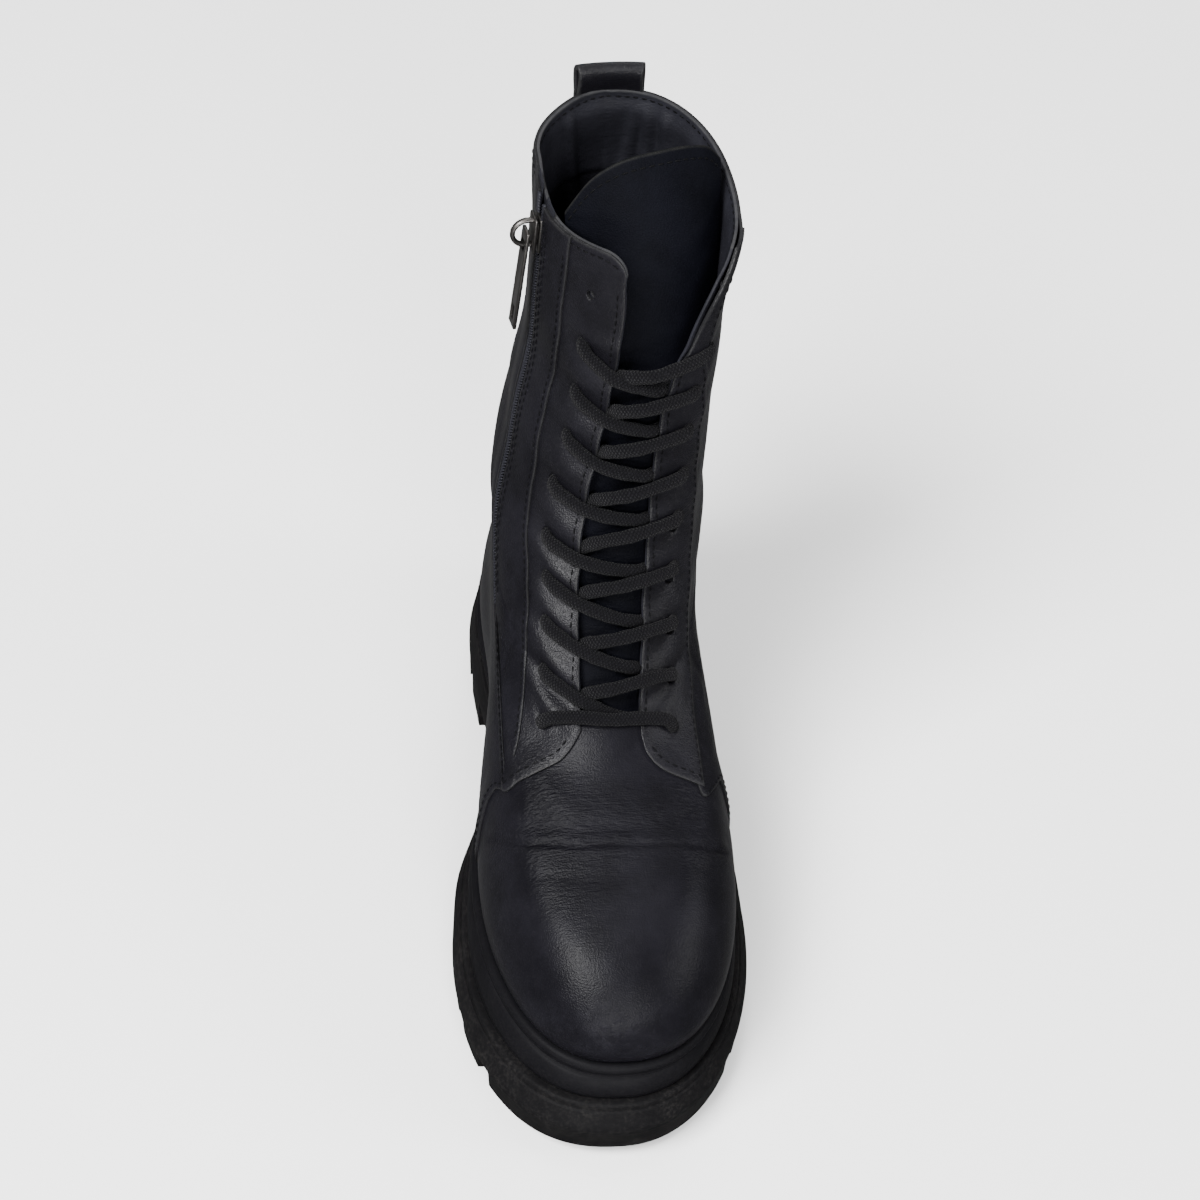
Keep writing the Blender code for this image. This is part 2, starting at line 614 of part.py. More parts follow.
def welt(material):
    """The rolled welt strip that hugs the foot of the upper."""
    sections = []
    for around, around_above in zip(shaft_columns(0.0, True), shaft_columns(SHAFT_ROWS[1], True)):
        foot = upper_face(0.0, [around])[0]
        out = upper_face(0.0, [around], -1.0)[0] - foot
        out[2] = 0.0
        out /= np.linalg.norm(out)
        above = upper_face(SHAFT_ROWS[1], [around_above])[0]
        head = foot + (above - foot) * WELT_HEIGHT / (above[2] - foot[2])
        station = np.clip((foot[1] - FEATHER_TOE) / LAST_LENGTH, 0.0, 1.0)
        width = float(np.interp(station, *WELT_WIDTH))
        base = np.array([0.0, 0.0, WELT_BASE])
        up = np.array([0.0, 0.0, WELT_HEIGHT])
        sections.append([
            foot + out * WELT_CLEARANCE + base,
            foot + out * width + base,
            foot + out * (width + WELT_ROLL) + up * 0.5,
            foot + out * (width - WELT_SHOULDER) + up * 0.95,
            head + out * WELT_CLEARANCE,
        ])
    return add_object("welt", *ring_of_sections(sections), material)


def insole(material):
    """The insole board that lies inside the foot of the upper."""
    stations = even_stations(SOLE_FACETS)
    inset = UPPER_WALL + INSOLE_CLEARANCE
    outer = np.array(sole_loop(stations, 0.0, seat))
    ahead = np.roll(outer, -1, axis=0) - np.roll(outer, 1, axis=0)
    inward = np.stack([-ahead[:, 1], ahead[:, 0], np.zeros(len(outer))], axis=1)
    inward /= np.linalg.norm(inward, axis=1, keepdims=True)
    bottom = outer + inward * inset
    bottom[:, 2] += GAP
    top = bottom.copy()
    top[:, 2] += INSOLE_THICKNESS
    return add_object("insole", *stack_loops([bottom, top]), material)


def facing(v):
    """Distances in mm of the two facing edges from the ring's front centre."""
    return dict(zip(FACING_COLUMNS[1:], smooth_table(FACING_TABLE, v)))


def shaft_columns(v, closed):
    """Around values of the upper's columns: round the back between the facings, then the front."""
    edges = facing(v)
    lateral, medial = around_at(v, edges["lateral"]), around_at(v, -edges["medial"])
    columns = [
        np.linspace(lateral, 0.5, SIDE_FACETS + 1)[:-1],
        np.linspace(0.5, 1.0, BACK_FACETS + 1),
        np.linspace(-1.0, -0.5, BACK_FACETS + 1)[1:],
        np.linspace(-0.5, medial, SIDE_FACETS + 1)[1:],
    ]
    if closed:
        columns.append(np.linspace(medial, lateral, FRONT_FACETS + 1)[1:-1])
    return np.concatenate(columns)


def upper(material):
    """The leather upper: vamp, quarters and shaft as one hollow wall, open at throat, collar and foot."""
    throat_row = SHAFT_ROWS.index(THROAT_V)
    back_count = 2 * (SIDE_FACETS + BACK_FACETS) + 1
    vertices, index = [], {}
    for row, v in enumerate(SHAFT_ROWS):
        around = shaft_columns(v, row <= throat_row)
        for layer, depth in (("outer", 0.0), ("inner", UPPER_WALL)):
            for column, point in enumerate(upper_face(v, around, depth)):
                index[layer, row, column] = len(vertices)
                vertices.append(point)

    whole = [*range(back_count + FRONT_FACETS - 1), 0]
    behind = list(range(back_count))
    across_throat = [*range(back_count - 1, back_count + FRONT_FACETS - 1), 0]
    faces = []

    def wall(row, columns):
        """Both skins between this row and the next one."""
        for a, b in zip(columns, columns[1:]):
            for layer in ("outer", "inner"):
                faces.append([index[layer, row, a], index[layer, row, b],
                              index[layer, row + 1, b], index[layer, row + 1, a]])

    def rim(row, columns):
        """The cut edge along one row."""
        for a, b in zip(columns, columns[1:]):
            faces.append([index["outer", row, a], index["outer", row, b],
                          index["inner", row, b], index["inner", row, a]])

    last = len(SHAFT_ROWS) - 1
    for row in range(last):
        wall(row, whole if row < throat_row else behind)
        if row >= throat_row:
            for column in (0, back_count - 1):
                faces.append([index["outer", row, column], index["outer", row + 1, column],
                              index["inner", row + 1, column], index["inner", row, column]])
    rim(0, whole)
    rim(last, behind)
    rim(throat_row, across_throat)
    return add_object("upper", vertices, faces, material)


def tongue(material):
    """The tongue, under the facings below and leaning back into the open shaft above."""
    depth = UPPER_WALL + TONGUE_CLEARANCE + TONGUE_THICKNESS / 2
    grid = []
    for v in np.linspace(TONGUE_TABLE[0, 0], 1.0, TONGUE_ROWS):
        shape = dict(zip(TONGUE_COLUMNS[1:], smooth_table(TONGUE_TABLE, v)))
        share = np.linspace(-1, 1, TONGUE_FACETS + 1)
        ends = around_at(v, -shape["medial"]), around_at(v, shape["lateral"])
        around = np.where(share < 0, -share * ends[0], share * ends[1])
        bent = upper_face(v, around, depth)
        flat = bent[0] + (bent[-1] - bent[0]) * (share[:, None] + 1) / 2
        row = bent + (flat - bent) * shape["lean"]
        row[:, 2] += shape["rise"] * np.cos(share * math.pi / 2)
        grid.append(row)
    return add_object("tongue", *sheet(grid, TONGUE_THICKNESS), material)


def pull_loop(material):
    """The strap loop at the back of the collar, its tails down the outside and the inside."""
    outside = PULL_LOOP_REST + PULL_LOOP_THICKNESS / 2
    inside = UPPER_WALL + outside
    back_length = half_ring(ring_values(1.0), "lateral")[1][0][-1]
    offsets = np.linspace(0.5, -0.5, PULL_LOOP_COLUMNS) * PULL_LOOP_WIDTH
    around = np.array([math.copysign(1 - 0.5 * abs(d) / back_length, d if d else 1.0) for d in offsets])
    tail_v = PULL_LOOP_TAIL / SHAFT_BACK * (1 - COUNTER_V)
    rows = np.linspace(1 - tail_v, PULL_LOOP_TOP_V, 4)
    grid = [upper_face(v, around, -outside) for v in rows]
    stop = upper_face(PULL_LOOP_TOP_V, around, inside)
    middle, half = (grid[-1] + stop) / 2, (grid[-1] - stop) / 2
    for angle in np.linspace(0, math.pi, PULL_LOOP_ARCH_ROWS + 2)[1:-1]:
        rise = math.sin(angle)
        point = middle + half * math.cos(angle) * (1 + PULL_LOOP_SWELL * rise)
        point[:, 1] += (point[:, 1].mean() - point[:, 1]) * PULL_LOOP_FLATTEN * rise
        point[:, 2] += PULL_LOOP_RISE * rise ** PULL_LOOP_POWER
        grid.append(point)
    grid += [upper_face(v, around, inside) for v in rows[::-1]]
    return add_object("pull_loop", *sheet(grid, PULL_LOOP_THICKNESS), material)


def eyelet(pair, side):
    """Ring and signed mm of one lace hole."""
    row = dict(zip(EYELET_COLUMNS, EYELET_TABLE[pair]))
    sign = 1.0 if side == "lateral" else -1.0
    return row[side + "_v"], sign * row[side]


def lace_path(start, end, profile):
    """Points in mm of a lace laid from start to end, each (v, mm), at the depths in profile."""
    points = []
    for share, depth in profile:
        v = start[0] + (end[0] - start[0]) * share
        distance = start[1] + (end[1] - start[1]) * share
        bow = np.interp(v, *LACE_BOW) * max(0.0, 1 - (distance / LACE_BOW_REACH) ** 2)
        points.append(upper_face(v + bow, [around_at(v + bow, distance)], depth)[0])
    return points


def lace_bar(material):
    """The straight lowest bar of the lace."""
    resting = -(LACE_DIAMETER / 2 + LACE_CLEARANCE + 2 * GAP)
    profile = [(share, resting) for share in np.linspace(0.04, 0.96, 9)]
    path = lace_path(eyelet(0, "medial"), eyelet(0, "lateral"), profile)
    return add_object("lace_bar", *tube(path, LACE_DIAMETER / 2), material)


def lace_crossing(pair, material):
    """Two crossed strands from this pair of holes, each ending at the far facing's edge."""
    radius = LACE_DIAMETER / 2
    resting = -(radius + LACE_CLEARANCE)
    strands = {}
    for side, far in (("medial", "lateral"), ("lateral", "medial")):
        middle = CROSSING_DEPTH[side]
        start, end = eyelet(pair, side), eyelet(pair - 1, far)
        near_edge, far_edge = facing(start[0])[side], facing(end[0])[far]
        length = abs(start[1]) + abs(end[1])
        to_near = (abs(start[1]) - near_edge) / length
        to_far = (abs(start[1]) + far_edge - radius - LACE_END_CLEARANCE) / length
        profile = [(0.05, resting), (to_near * 0.6, resting), (to_near, resting),
                   (0.7 * to_near + 0.3 * to_far, (resting + middle) / 2),
                   ((to_near + to_far) / 2, middle), (0.2 * to_near + 0.8 * to_far, middle / 2),
                   (to_far, TUCK_DEPTH)]
        strands[side] = lace_path(start, end, profile)
    name = "lace_crossing_%d" % pair
    crossing = add_object(name, *tube(strands["medial"], radius), material)
    join(crossing, *tube(strands["lateral"], radius))
    return crossing


def join(thing, vertices, faces):
    """Unite another closed body, in mm, with an object, through a kept Boolean modifier."""
    origin = np.array(thing.location) / MILLIMETRE
    cutter = add_object(thing.name + "_part", vertices, faces, thing.data.materials[0], origin)
    cutter.hide_render = True
    cutter.display_type = "WIRE"
    union = thing.modifiers.new("join", "BOOLEAN")
    union.operation = "UNION"
    union.solver = "EXACT"
    union.object = cutter


def zip_distance(v):
    """Signed mm of the zip's line from the ring's front centre."""
    return -float(smooth_table(ZIP_TABLE, v)[0])


def zip_coil(material):
    """The closed coil of the side zip, below its slider."""
    depth = -(ZIP_COIL_REST + ZIP_COIL_THICKNESS / 2)
    end_v = SLIDER_V - (SLIDER_LENGTH / 2 + COIL_TO_SLIDER) / MEDIAL_MM_PER_V
    grid = []
    for v in np.linspace(ZIP_TABLE[0, 0], end_v, 15):
        distance = zip_distance(v)
        around = [around_at(v, distance + d) for d in (-ZIP_COIL_WIDTH / 2, 0.0, ZIP_COIL_WIDTH / 2)]
        grid.append(upper_face(v, around, depth))
    return add_object("zip_coil", *sheet(grid, ZIP_COIL_THICKNESS), material)


def slider_frame():
    """Foot of the slider on the upper in mm, with unit vectors across, up the zip and outwards."""
    here = [around_at(SLIDER_V, zip_distance(SLIDER_V))]
    below_v = SLIDER_V - 0.05
    foot = upper_face(SLIDER_V, here)[0]
    out = upper_face(SLIDER_V, here, -1.0)[0] - foot
    up = foot - upper_face(below_v, [around_at(below_v, zip_distance(below_v))])[0]
    out = Vector(out).normalized()
    up = (Vector(up) - Vector(up).project(out)).normalized()
    return Vector(foot), up.cross(out), up, out


def placed(points, origin, across, up, out):
    """Points given as (across, up, out) in mm, turned into the boot's frame."""
    return [origin + across * x + up * y + out * z for x, y, z in points]


def prism(outline, low, high):
    """Vertices and faces of an outline of (across, up) points raised from low to high."""
    count = len(outline)
    vertices = [(x, y, z) for z in (low, high) for x, y in outline]
    faces = [tuple(range(count)), tuple(range(count, 2 * count))]
    faces += [(i, (i + 1) % count, (i + 1) % count + count, i + count) for i in range(count)]
    return vertices, faces


def rounded_box(width, length, corner):
    """Outline of a box with cut corners, as (across, up) points about its middle."""
    x, y, c = width / 2, length / 2, corner
    return [(-x + c, -y), (x - c, -y), (x, -y + c), (x, y - c), (x - c, y), (-x + c, y), (-x, y - c),
            (-x, -y + c)]


def hinge_height():
    """Height in mm of the pull's axis above the upper's face."""
    return SLIDER_REST + SLIDER_THICKNESS + AXIS_ABOVE_SLIDER


def zip_slider(material):
    """The slider's body and the round bridge that holds its pull."""
    frame = slider_frame()
    body, body_faces = prism(rounded_box(SLIDER_WIDTH, SLIDER_LENGTH, SLIDER_CORNER),
                             SLIDER_REST, SLIDER_REST + SLIDER_THICKNESS)
    slider = add_object("zip_slider", placed(body, *frame), body_faces, material, frame[0])
    bridge = [(0.0, -BRIDGE_RADIUS, SLIDER_REST + BRIDGE_SINK)]
    for angle in np.linspace(0, math.pi, 11):
        bridge.append((0.0, -BRIDGE_RADIUS * math.cos(angle),
                       hinge_height() + BRIDGE_RADIUS * math.sin(angle)))
    bridge.append((0.0, BRIDGE_RADIUS, SLIDER_REST + BRIDGE_SINK))
    vertices, faces = flat_tube(placed(bridge, *frame), frame[1], BRIDGE_WIRE)
    join(slider, vertices, faces)
    return slider


def flat_tube(points, side, size):
    """Vertices and faces of a square bar through points that all lie in a plane normal to side."""
    points = np.asarray(points, float)
    side = np.array(side)
    ahead = np.gradient(points, axis=0)
    ahead /= np.linalg.norm(ahead, axis=1, keepdims=True)
    normal = np.cross(ahead, side)
    half = size / 2
    vertices = []
    for point, n in zip(points, normal):
        vertices += [point + side * a * half + n * b * half for a, b in ((-1, -1), (1, -1), (1, 1), (-1, 1))]
    last = 4 * (len(points) - 1)
    faces = [(0, 1, 2, 3), (last, last + 1, last + 2, last + 3)]
    for k in range(len(points) - 1):
        for i in range(4):
            j = (i + 1) % 4
            faces.append((4 * k + i, 4 * k + j, 4 * k + 4 + j, 4 * k + 4 + i))
    return vertices, faces


def zip_pull(material):
    """The slider's pull tab, hanging from the bridge; its origin is on the hinge's axis."""
    foot, across, up, out = slider_frame()
    axis = foot + out * hinge_height()
    swing = Matrix.Rotation(math.radians(-PULL_TILT), 3, across)
    down, face = swing @ -up, swing @ out
    w, t = PULL_WIDTH / 2, PULL_THICKNESS / 2
    eye_near, eye_far = BRIDGE_RADIUS - EYE_CLEARANCE, BRIDGE_RADIUS + EYE_CLEARANCE
    head_x, head_y = w - PULL_HEAD_CORNER[0], PULL_HEAD_CORNER[1] - PULL_HEAD
    foot_x, foot_y = w - PULL_FOOT_CORNER[0], PULL_LENGTH - PULL_FOOT_CORNER[1]
    outer = [(-head_x, -PULL_HEAD), (head_x, -PULL_HEAD), (w, head_y), (w, foot_y),
             (foot_x, PULL_LENGTH), (-foot_x, PULL_LENGTH), (-w, foot_y), (-w, head_y)]
    eye = [(-EYE_WIDTH / 2, eye_near), (EYE_WIDTH / 2, eye_near), (EYE_WIDTH / 2, eye_far),
           (-EYE_WIDTH / 2, eye_far)]
    vertices = [axis + across * x + down * y + face * z for z in (-t, t) for x, y in outer + eye]
    count = len(outer) + len(eye)
    faces = []
    for low in (0, count):
        a = [low + i for i in range(len(outer))]
        b = [low + len(outer) + i for i in range(len(eye))]
        faces += [(a[0], a[1], b[1], b[0]), (a[1], a[2], b[1]), (a[2], a[3], b[2], b[1]),
                  (a[3], a[4], b[2]), (a[4], a[5], b[3], b[2]), (a[5], a[6], b[3]),
                  (a[6], a[7], b[0], b[3]), (a[7], a[0], b[0])]
    for loop in (range(len(outer)), range(len(outer), count)):
        for k, i in enumerate(loop):
            j = loop[(k + 1) % len(loop)]
            faces.append((i, j, j + count, i + count))
    return add_object("zip_pull", vertices, faces, material, axis)


def main():
    """Build every piece of the boot."""
    for thing in list(bpy.data.objects):
        bpy.data.objects.remove(thing)
    tread_rubber = make_material("tread_rubber", (0.022, 0.022, 0.024), 0.62)
    midsole_rubber = make_material("midsole_rubber", (0.026, 0.025, 0.029), 0.55)
    leather = make_material("black_leather", (0.020, 0.019, 0.022), 0.42)
    tongue_leather = make_material("tongue_leather", (0.014, 0.014, 0.017), 0.50)
    lining = make_material("lining_fabric", (0.012, 0.012, 0.014), 0.85)
    lace_yarn = make_material("lace_yarn", (0.016, 0.016, 0.018), 0.80)
    zip_tape = make_material("zip_plastic", (0.015, 0.015, 0.017), 0.55)
    nickel = make_material("nickel", (0.62, 0.60, 0.58), 0.22, 1.0)

    outsole(tread_rubber)
    midsole(midsole_rubber)
    welt(midsole_rubber)
    insole(lining)
    upper(leather)
    tongue(tongue_leather)
    pull_loop(leather)
    lace_bar(lace_yarn)
    for pair in range(1, LACED_PAIRS):
        lace_crossing(pair, lace_yarn)
    zip_coil(zip_tape)
    zip_slider(nickel)
    zip_pull(nickel)


main()
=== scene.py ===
"""Left mid-calf lace-up boot with a side zip: leather, lining, laces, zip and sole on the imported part.

Distances in the tables are millimetres; put() turns them into metres. The toe points along -Y, the
lateral side is +X and the floor is Z = 0. A place on the boot's outer face is given by v, from the
feather line (0) to the collar (1), and by mm along that ring from its front centre, + lateral and
- medial, or by turn, which runs 0 front, 0.5 lateral, 1 back, 1.5 medial, 2 front again.
"""

import json
import math
from functools import lru_cache

import bmesh
import bpy
import numpy as np
from mathutils import Matrix, Vector


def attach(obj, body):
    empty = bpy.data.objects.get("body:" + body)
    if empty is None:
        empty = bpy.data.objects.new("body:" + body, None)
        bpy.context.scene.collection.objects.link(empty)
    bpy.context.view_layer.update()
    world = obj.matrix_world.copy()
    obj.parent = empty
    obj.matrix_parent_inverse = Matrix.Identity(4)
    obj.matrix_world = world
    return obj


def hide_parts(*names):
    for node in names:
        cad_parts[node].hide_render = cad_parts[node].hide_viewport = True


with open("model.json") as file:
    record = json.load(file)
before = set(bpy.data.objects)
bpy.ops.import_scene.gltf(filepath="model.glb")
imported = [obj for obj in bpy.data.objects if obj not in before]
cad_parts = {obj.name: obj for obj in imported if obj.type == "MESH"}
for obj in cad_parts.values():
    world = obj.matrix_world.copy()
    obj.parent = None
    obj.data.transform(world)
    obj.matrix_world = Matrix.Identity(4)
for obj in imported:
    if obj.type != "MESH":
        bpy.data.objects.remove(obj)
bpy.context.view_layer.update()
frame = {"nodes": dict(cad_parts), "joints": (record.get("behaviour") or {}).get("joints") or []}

bl_info = {
    "name": "Lace-up Boot",
    "version": (1, 0, 0),
    "blender": (4, 5, 0),
    "location": "View3D > Sidebar > Boot",
    "description": "Builds the leather, laces, zip and sole of a mid-calf boot round its packed frame",
    "category": "Object",
}

MILLIMETRE = 0.001

# The boot's last and sole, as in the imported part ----
LAST_LENGTH, BALL_WIDTH = 270.0, 91.0
TOE_SEAT, HEEL_SEAT = 42.0, 53.0
INSTEP_RISE, COUNTER_RISE = 72.0, 92.0
SHAFT_FRONT, SHAFT_BACK = 156.0, 141.0
SOLE_LENGTH, SOLE_BALL_WIDTH = 296.0, 116.0
TOE_TIP, FEATHER_TOE, TOE_SPRING = -148.0, -131.0, 8.0
UPPER_WALL, GAP, COUNTER_V, THROAT_V = 2.4, 0.3, 0.46, 0.44

RING_COLUMNS = ("front", "back", "front_up", "back_up", "dip", "lateral", "medial", "widest",
                "front_power", "back_power", "lateral_waist", "medial_waist", "shift", "twist")
RING_TABLE = np.array([
    (0.00, 0.0, 100.0, 0.0, 0.0, 11.0, 50.5, 49.5, 0.34, 2.35, 2.50, 7, 12, 0.0, 0.0),
    (0.05, -1.5, 100.7, 11.0, 8.7, 10.5, 55.0, 52.5, 0.34, 2.40, 2.50, 7, 11, 0.0, 0.0),
    (0.10, -1.7, 101.5, 23.6, 18.5, 9.0, 56.0, 53.0, 0.35, 2.40, 2.45, 7, 9, 0.0, 0.0),
    (0.15, 0.0, 101.7, 37.5, 30.4, 7.0, 55.0, 51.5, 0.37, 2.30, 2.40, 5, 7, 0.3, 0.0),
    (0.20, 3.7, 101.3, 50.0, 42.4, 4.5, 52.2, 48.5, 0.39, 2.20, 2.35, 4, 5, 0.5, 0.0),
    (0.26, 11.1, 100.4, 61.1, 55.4, 2.5, 49.5, 45.6, 0.42, 2.10, 2.30, 3, 3, 0.8, 0.0),
    (0.32, 20.7, 99.3, 69.4, 68.5, 1.0, 46.7, 43.4, 0.45, 2.05, 2.30, 2, 2, 1.2, 0.0),
    (0.39, 31.1, 98.1, 80.6, 83.7, 0.0, 44.0, 42.3, 0.48, 2.00, 2.30, 1, 1, 2.0, 0.0),
    (COUNTER_V, 40.4, 97.4, 100.0, 100.0, 0.0, 43.4, 42.3, 0.50, 2.00, 2.30, 0, 0, 3.2, 0.5),
    (0.54, 48.1, 96.9, 114.7, 113.5, 0.0, 43.4, 42.6, 0.51, 2.05, 2.30, 0, 0, 5.0, 1.0),
    (0.64, 54.4, 96.7, 132.7, 131.9, 0.0, 40.7, 40.4, 0.51, 2.10, 2.30, 0, 0, 8.5, 2.0),
    (0.76, 58.5, 96.9, 155.1, 154.6, 0.0, 37.8, 37.4, 0.51, 2.15, 2.30, 0, 0, 12.0, 3.0),
    (0.88, 61.1, 97.2, 178.2, 177.3, 0.0, 37.2, 37.2, 0.51, 2.20, 2.30, 0, 0, 13.7, 4.5),
    (1.00, 63.0, 97.8, 200.0, 200.0, 0.0, 38.5, 37.4, 0.50, 2.20, 2.30, 0, 0, 16.0, 6.0),
])
WAIST_AT, WAIST_SPREAD = 0.60, 0.16
DIP_AT, DIP_SPREAD = 0.36, 0.20

FACING_TABLE = np.array([       # v, lateral mm, medial mm of the throat's two edges
    (0.00, 12.0, 12.0),
    (0.44, 12.0, 12.0),
    (0.52, 12.0, 14.0),
    (0.60, 9.5, 16.5),
    (0.68, 7.5, 17.5),
    (0.76, 6.0, 16.0),
    (0.84, 7.0, 14.0),
    (0.90, 12.5, 13.0),
    (0.96, 22.0, 13.5),
    (1.00, 36.0, 15.0),
])
EYELET_TABLE = np.array([       # lateral v, lateral mm, medial v, medial mm of each pair of lace holes
    (0.403, 33.0, 0.410, 34.2),
    (0.452, 31.3, 0.462, 32.3),
    (0.505, 28.0, 0.511, 31.2),
    (0.571, 23.5, 0.562, 31.0),
    (0.639, 21.0, 0.609, 34.2),
    (0.700, 21.0, 0.676, 34.6),
    (0.767, 18.5, 0.747, 31.0),
    (0.824, 18.8, 0.811, 29.8),
    (0.876, 25.0, 0.884, 28.0),
    (0.950, 34.0, 0.961, 27.2),
])
PAIRS, LACED_PAIRS = len(EYELET_TABLE), 9
LACE_REACH, LACE_STEP = 33.0, 0.95       # mm from the front centre where the bow ends; mm from ring to ring
LACE_BOW = ((0.42, 0.60, 0.90), (0.038, 0.030, 0.016))    # v, and how far a taut lace bows up there

OUTLINE_TABLE = np.array([      # station, lateral and medial half width of the outsole, %
    (0.00, 101.0, 99.0),
    (0.34, 101.0, 99.0),
    (0.43, 100.0, 92.0),
    (0.50, 94.5, 78.0),
    (0.56, 87.0, 67.0),
    (0.63, 79.0, 63.0),
    (0.71, 75.0, 66.5),
    (0.80, 75.0, 70.0),
    (1.00, 75.0, 70.0),
])
TOE_END, TOE_POWERS = 0.34, (2.0, 2.5)
HEEL_END, HEEL_POWER = 0.80, 2.4
LEVEL_TABLE = np.array([        # station, top of the outsole's rand, underside between its lugs
    (0.00, 31.0, 17.0),
    (0.10, 26.5, 13.0),
    (0.22, 22.0, 10.0),
    (0.38, 21.0, 10.0),
    (0.50, 24.5, 12.5),
    (0.62, 30.5, 18.0),
    (0.72, 34.5, 16.0),
    (0.85, 37.0, 13.0),
    (1.00, 38.0, 14.0),
])
SPRING_START, TOE_SPRING_POWER = -89.0, 1.6
HEEL_BREAST, FOREFOOT_END, LUG_GAP = 67.0, 9.0, 6.0
FOREFOOT_GAPS, HEEL_GAPS = (-108.0, -81.0, -54.0, -27.0), (93.0, 119.0)
WELT_WIDTH = ((0.0, 0.38, 0.55, 0.75, 1.0), (5.2, 5.0, 3.6, 3.8, 4.2))
WELT_BASE, WELT_CLEARANCE = 0.2, 0.45

TONGUE_TABLE = np.array([       # v, lateral and medial mm, lean off the throat, rise of its middle
    (0.36, 22, 22, 0.00, 0),
    (0.44, 28, 27, 0.00, 0),
    (0.54, 30, 29, 0.00, 0),
    (0.64, 31, 32, 0.00, 0),
    (0.72, 32, 35, 0.06, 0),
    (0.80, 35, 38, 0.20, 0),
    (0.90, 50, 44, 0.48, 2),
    (1.00, 69, 52, 0.80, 7),
])
PULL_LOOP_RISE, PULL_LOOP_SWELL, PULL_LOOP_TAIL = 11.0, 2.0, 24.0
PULL_LOOP_REST, PULL_LOOP_FLATTEN, PULL_LOOP_POWER, PULL_LOOP_TOP_V = 0.6, 0.75, 0.7, 0.995
PULL_LOOP_WIDTH, PULL_LOOP_WALL, PULL_LOOP_ROUNDING = 25.0, 2.0, 0.45
PULL_LOOP_INSIDE = -0.5      # the inner tail is sewn in between leather and lining

ZIP_TABLE = np.array([          # v, medial mm of the zip's line
    (0.41, 90.0),
    (0.46, 85.5),
    (0.54, 79.0),
    (0.64, 72.5),
    (0.76, 67.0),
    (0.88, 64.0),
    (1.00, 62.5),
])
SLIDER_V, SLIDER_LENGTH, SLIDER_WIDTH, SLIDER_THICKNESS, SLIDER_REST = 0.948, 14.0, 8.0, 3.2, 0.5
BRIDGE_RADIUS, BRIDGE_WIRE, AXIS_ABOVE_SLIDER = 5.2, 1.9, 1.8
PULL_LENGTH, PULL_WIDTH, PULL_THICKNESS, PULL_TILT = 41.0, 7.0, 1.4, 2.5
PULL_ABOVE_AXIS, PULL_FOOT = 1.1, 6.0       # the tab past its hinge, and from its foot to its small hole, mm
SLIDER_PLATE, BRIDGE_WIDTH, BRIDGE_FOOT = 1.25, 2.6, 1.6
TAPE_INNER, TAPE_OUTER, TAPE_SINK = 0.9, 9.5, -0.55      # mm from the zip's line and from the leather's face
TAPE_OPEN, TOOTH_OPEN, OPEN_RUN = 2.4, 2.6, 0.03     # mm the zip parts above its slider, over a run of v
TOOTH_SIZE, TOOTH_OFF, TOOTH_LIFT = (3.3, 0.98, 1.5), 0.62, 0.45     # off the zip's line, over the leather, mm
TOOTH_SLANT = 0.32           # rise along the zip for each mm across it


# Curves and the boot's surface ----
def smooth_table(table, at):
    """Read a table whose first column is the station with a cubic curve through its rows."""
    table = np.asarray(table, float)
    stations, values = table[:, 0], table[:, 1:]
    slopes = np.gradient(values, stations, axis=0)
    at = np.clip(np.asarray(at, float), stations[0], stations[-1])
    row = np.clip(np.searchsorted(stations, at, side="right") - 1, 0, len(stations) - 2)
    step = (stations[row + 1] - stations[row])[..., None]
    t = (at - stations[row])[..., None] / step
    return (values[row] * (1 + 2 * t) * (1 - t) ** 2 + slopes[row] * step * t * (1 - t) ** 2
            + values[row + 1] * t * t * (3 - 2 * t) + slopes[row + 1] * step * t * t * (t - 1))


def smooth_line(line, at):
    """Read one value of a line of (station, value) pairs."""
    return smooth_table(line, at)[..., 0]


def eased(share):
    """0 to 1 with soft ends."""
    share = np.clip(share, 0, 1)
    return share * share * (3 - 2 * share)


def bell(distance, width):
    """1 at no distance, falling softly to 0."""
    return np.exp(-(np.asarray(distance) / width) ** 2)


def unit(vectors):
    """Vectors scaled to length 1."""
    return vectors / np.linalg.norm(vectors, axis=-1, keepdims=True)


def running_length(points):
    """Distance along a line from its first point to each of its points."""
    return np.concatenate([[0.0], np.cumsum(np.linalg.norm(np.diff(points, axis=0), axis=1))])


def read_along(at, run, points):
    """Points at distances along a line whose running length is run."""
    return np.stack([np.interp(at, run, column) for column in np.transpose(points)], axis=-1)


def ring_values(v):
    """Return the ring's named values at v, in mm."""
    ring = dict(zip(RING_COLUMNS, smooth_table(RING_TABLE, v)))
    rises = {"front": (TOE_SEAT, INSTEP_RISE, SHAFT_FRONT), "back": (HEEL_SEAT, COUNTER_RISE, SHAFT_BACK)}
    for end, (seat_height, below, above) in rises.items():
        ring[end] = FEATHER_TOE + LAST_LENGTH * ring[end] / 100
        share = ring[end + "_up"] / 100
        ring[end + "_up"] = seat_height + below * min(share, 1.0) + above * max(share - 1.0, 0.0)
    for side in ("lateral", "medial"):
        ring[side] = BALL_WIDTH * ring[side] / 100
    return ring


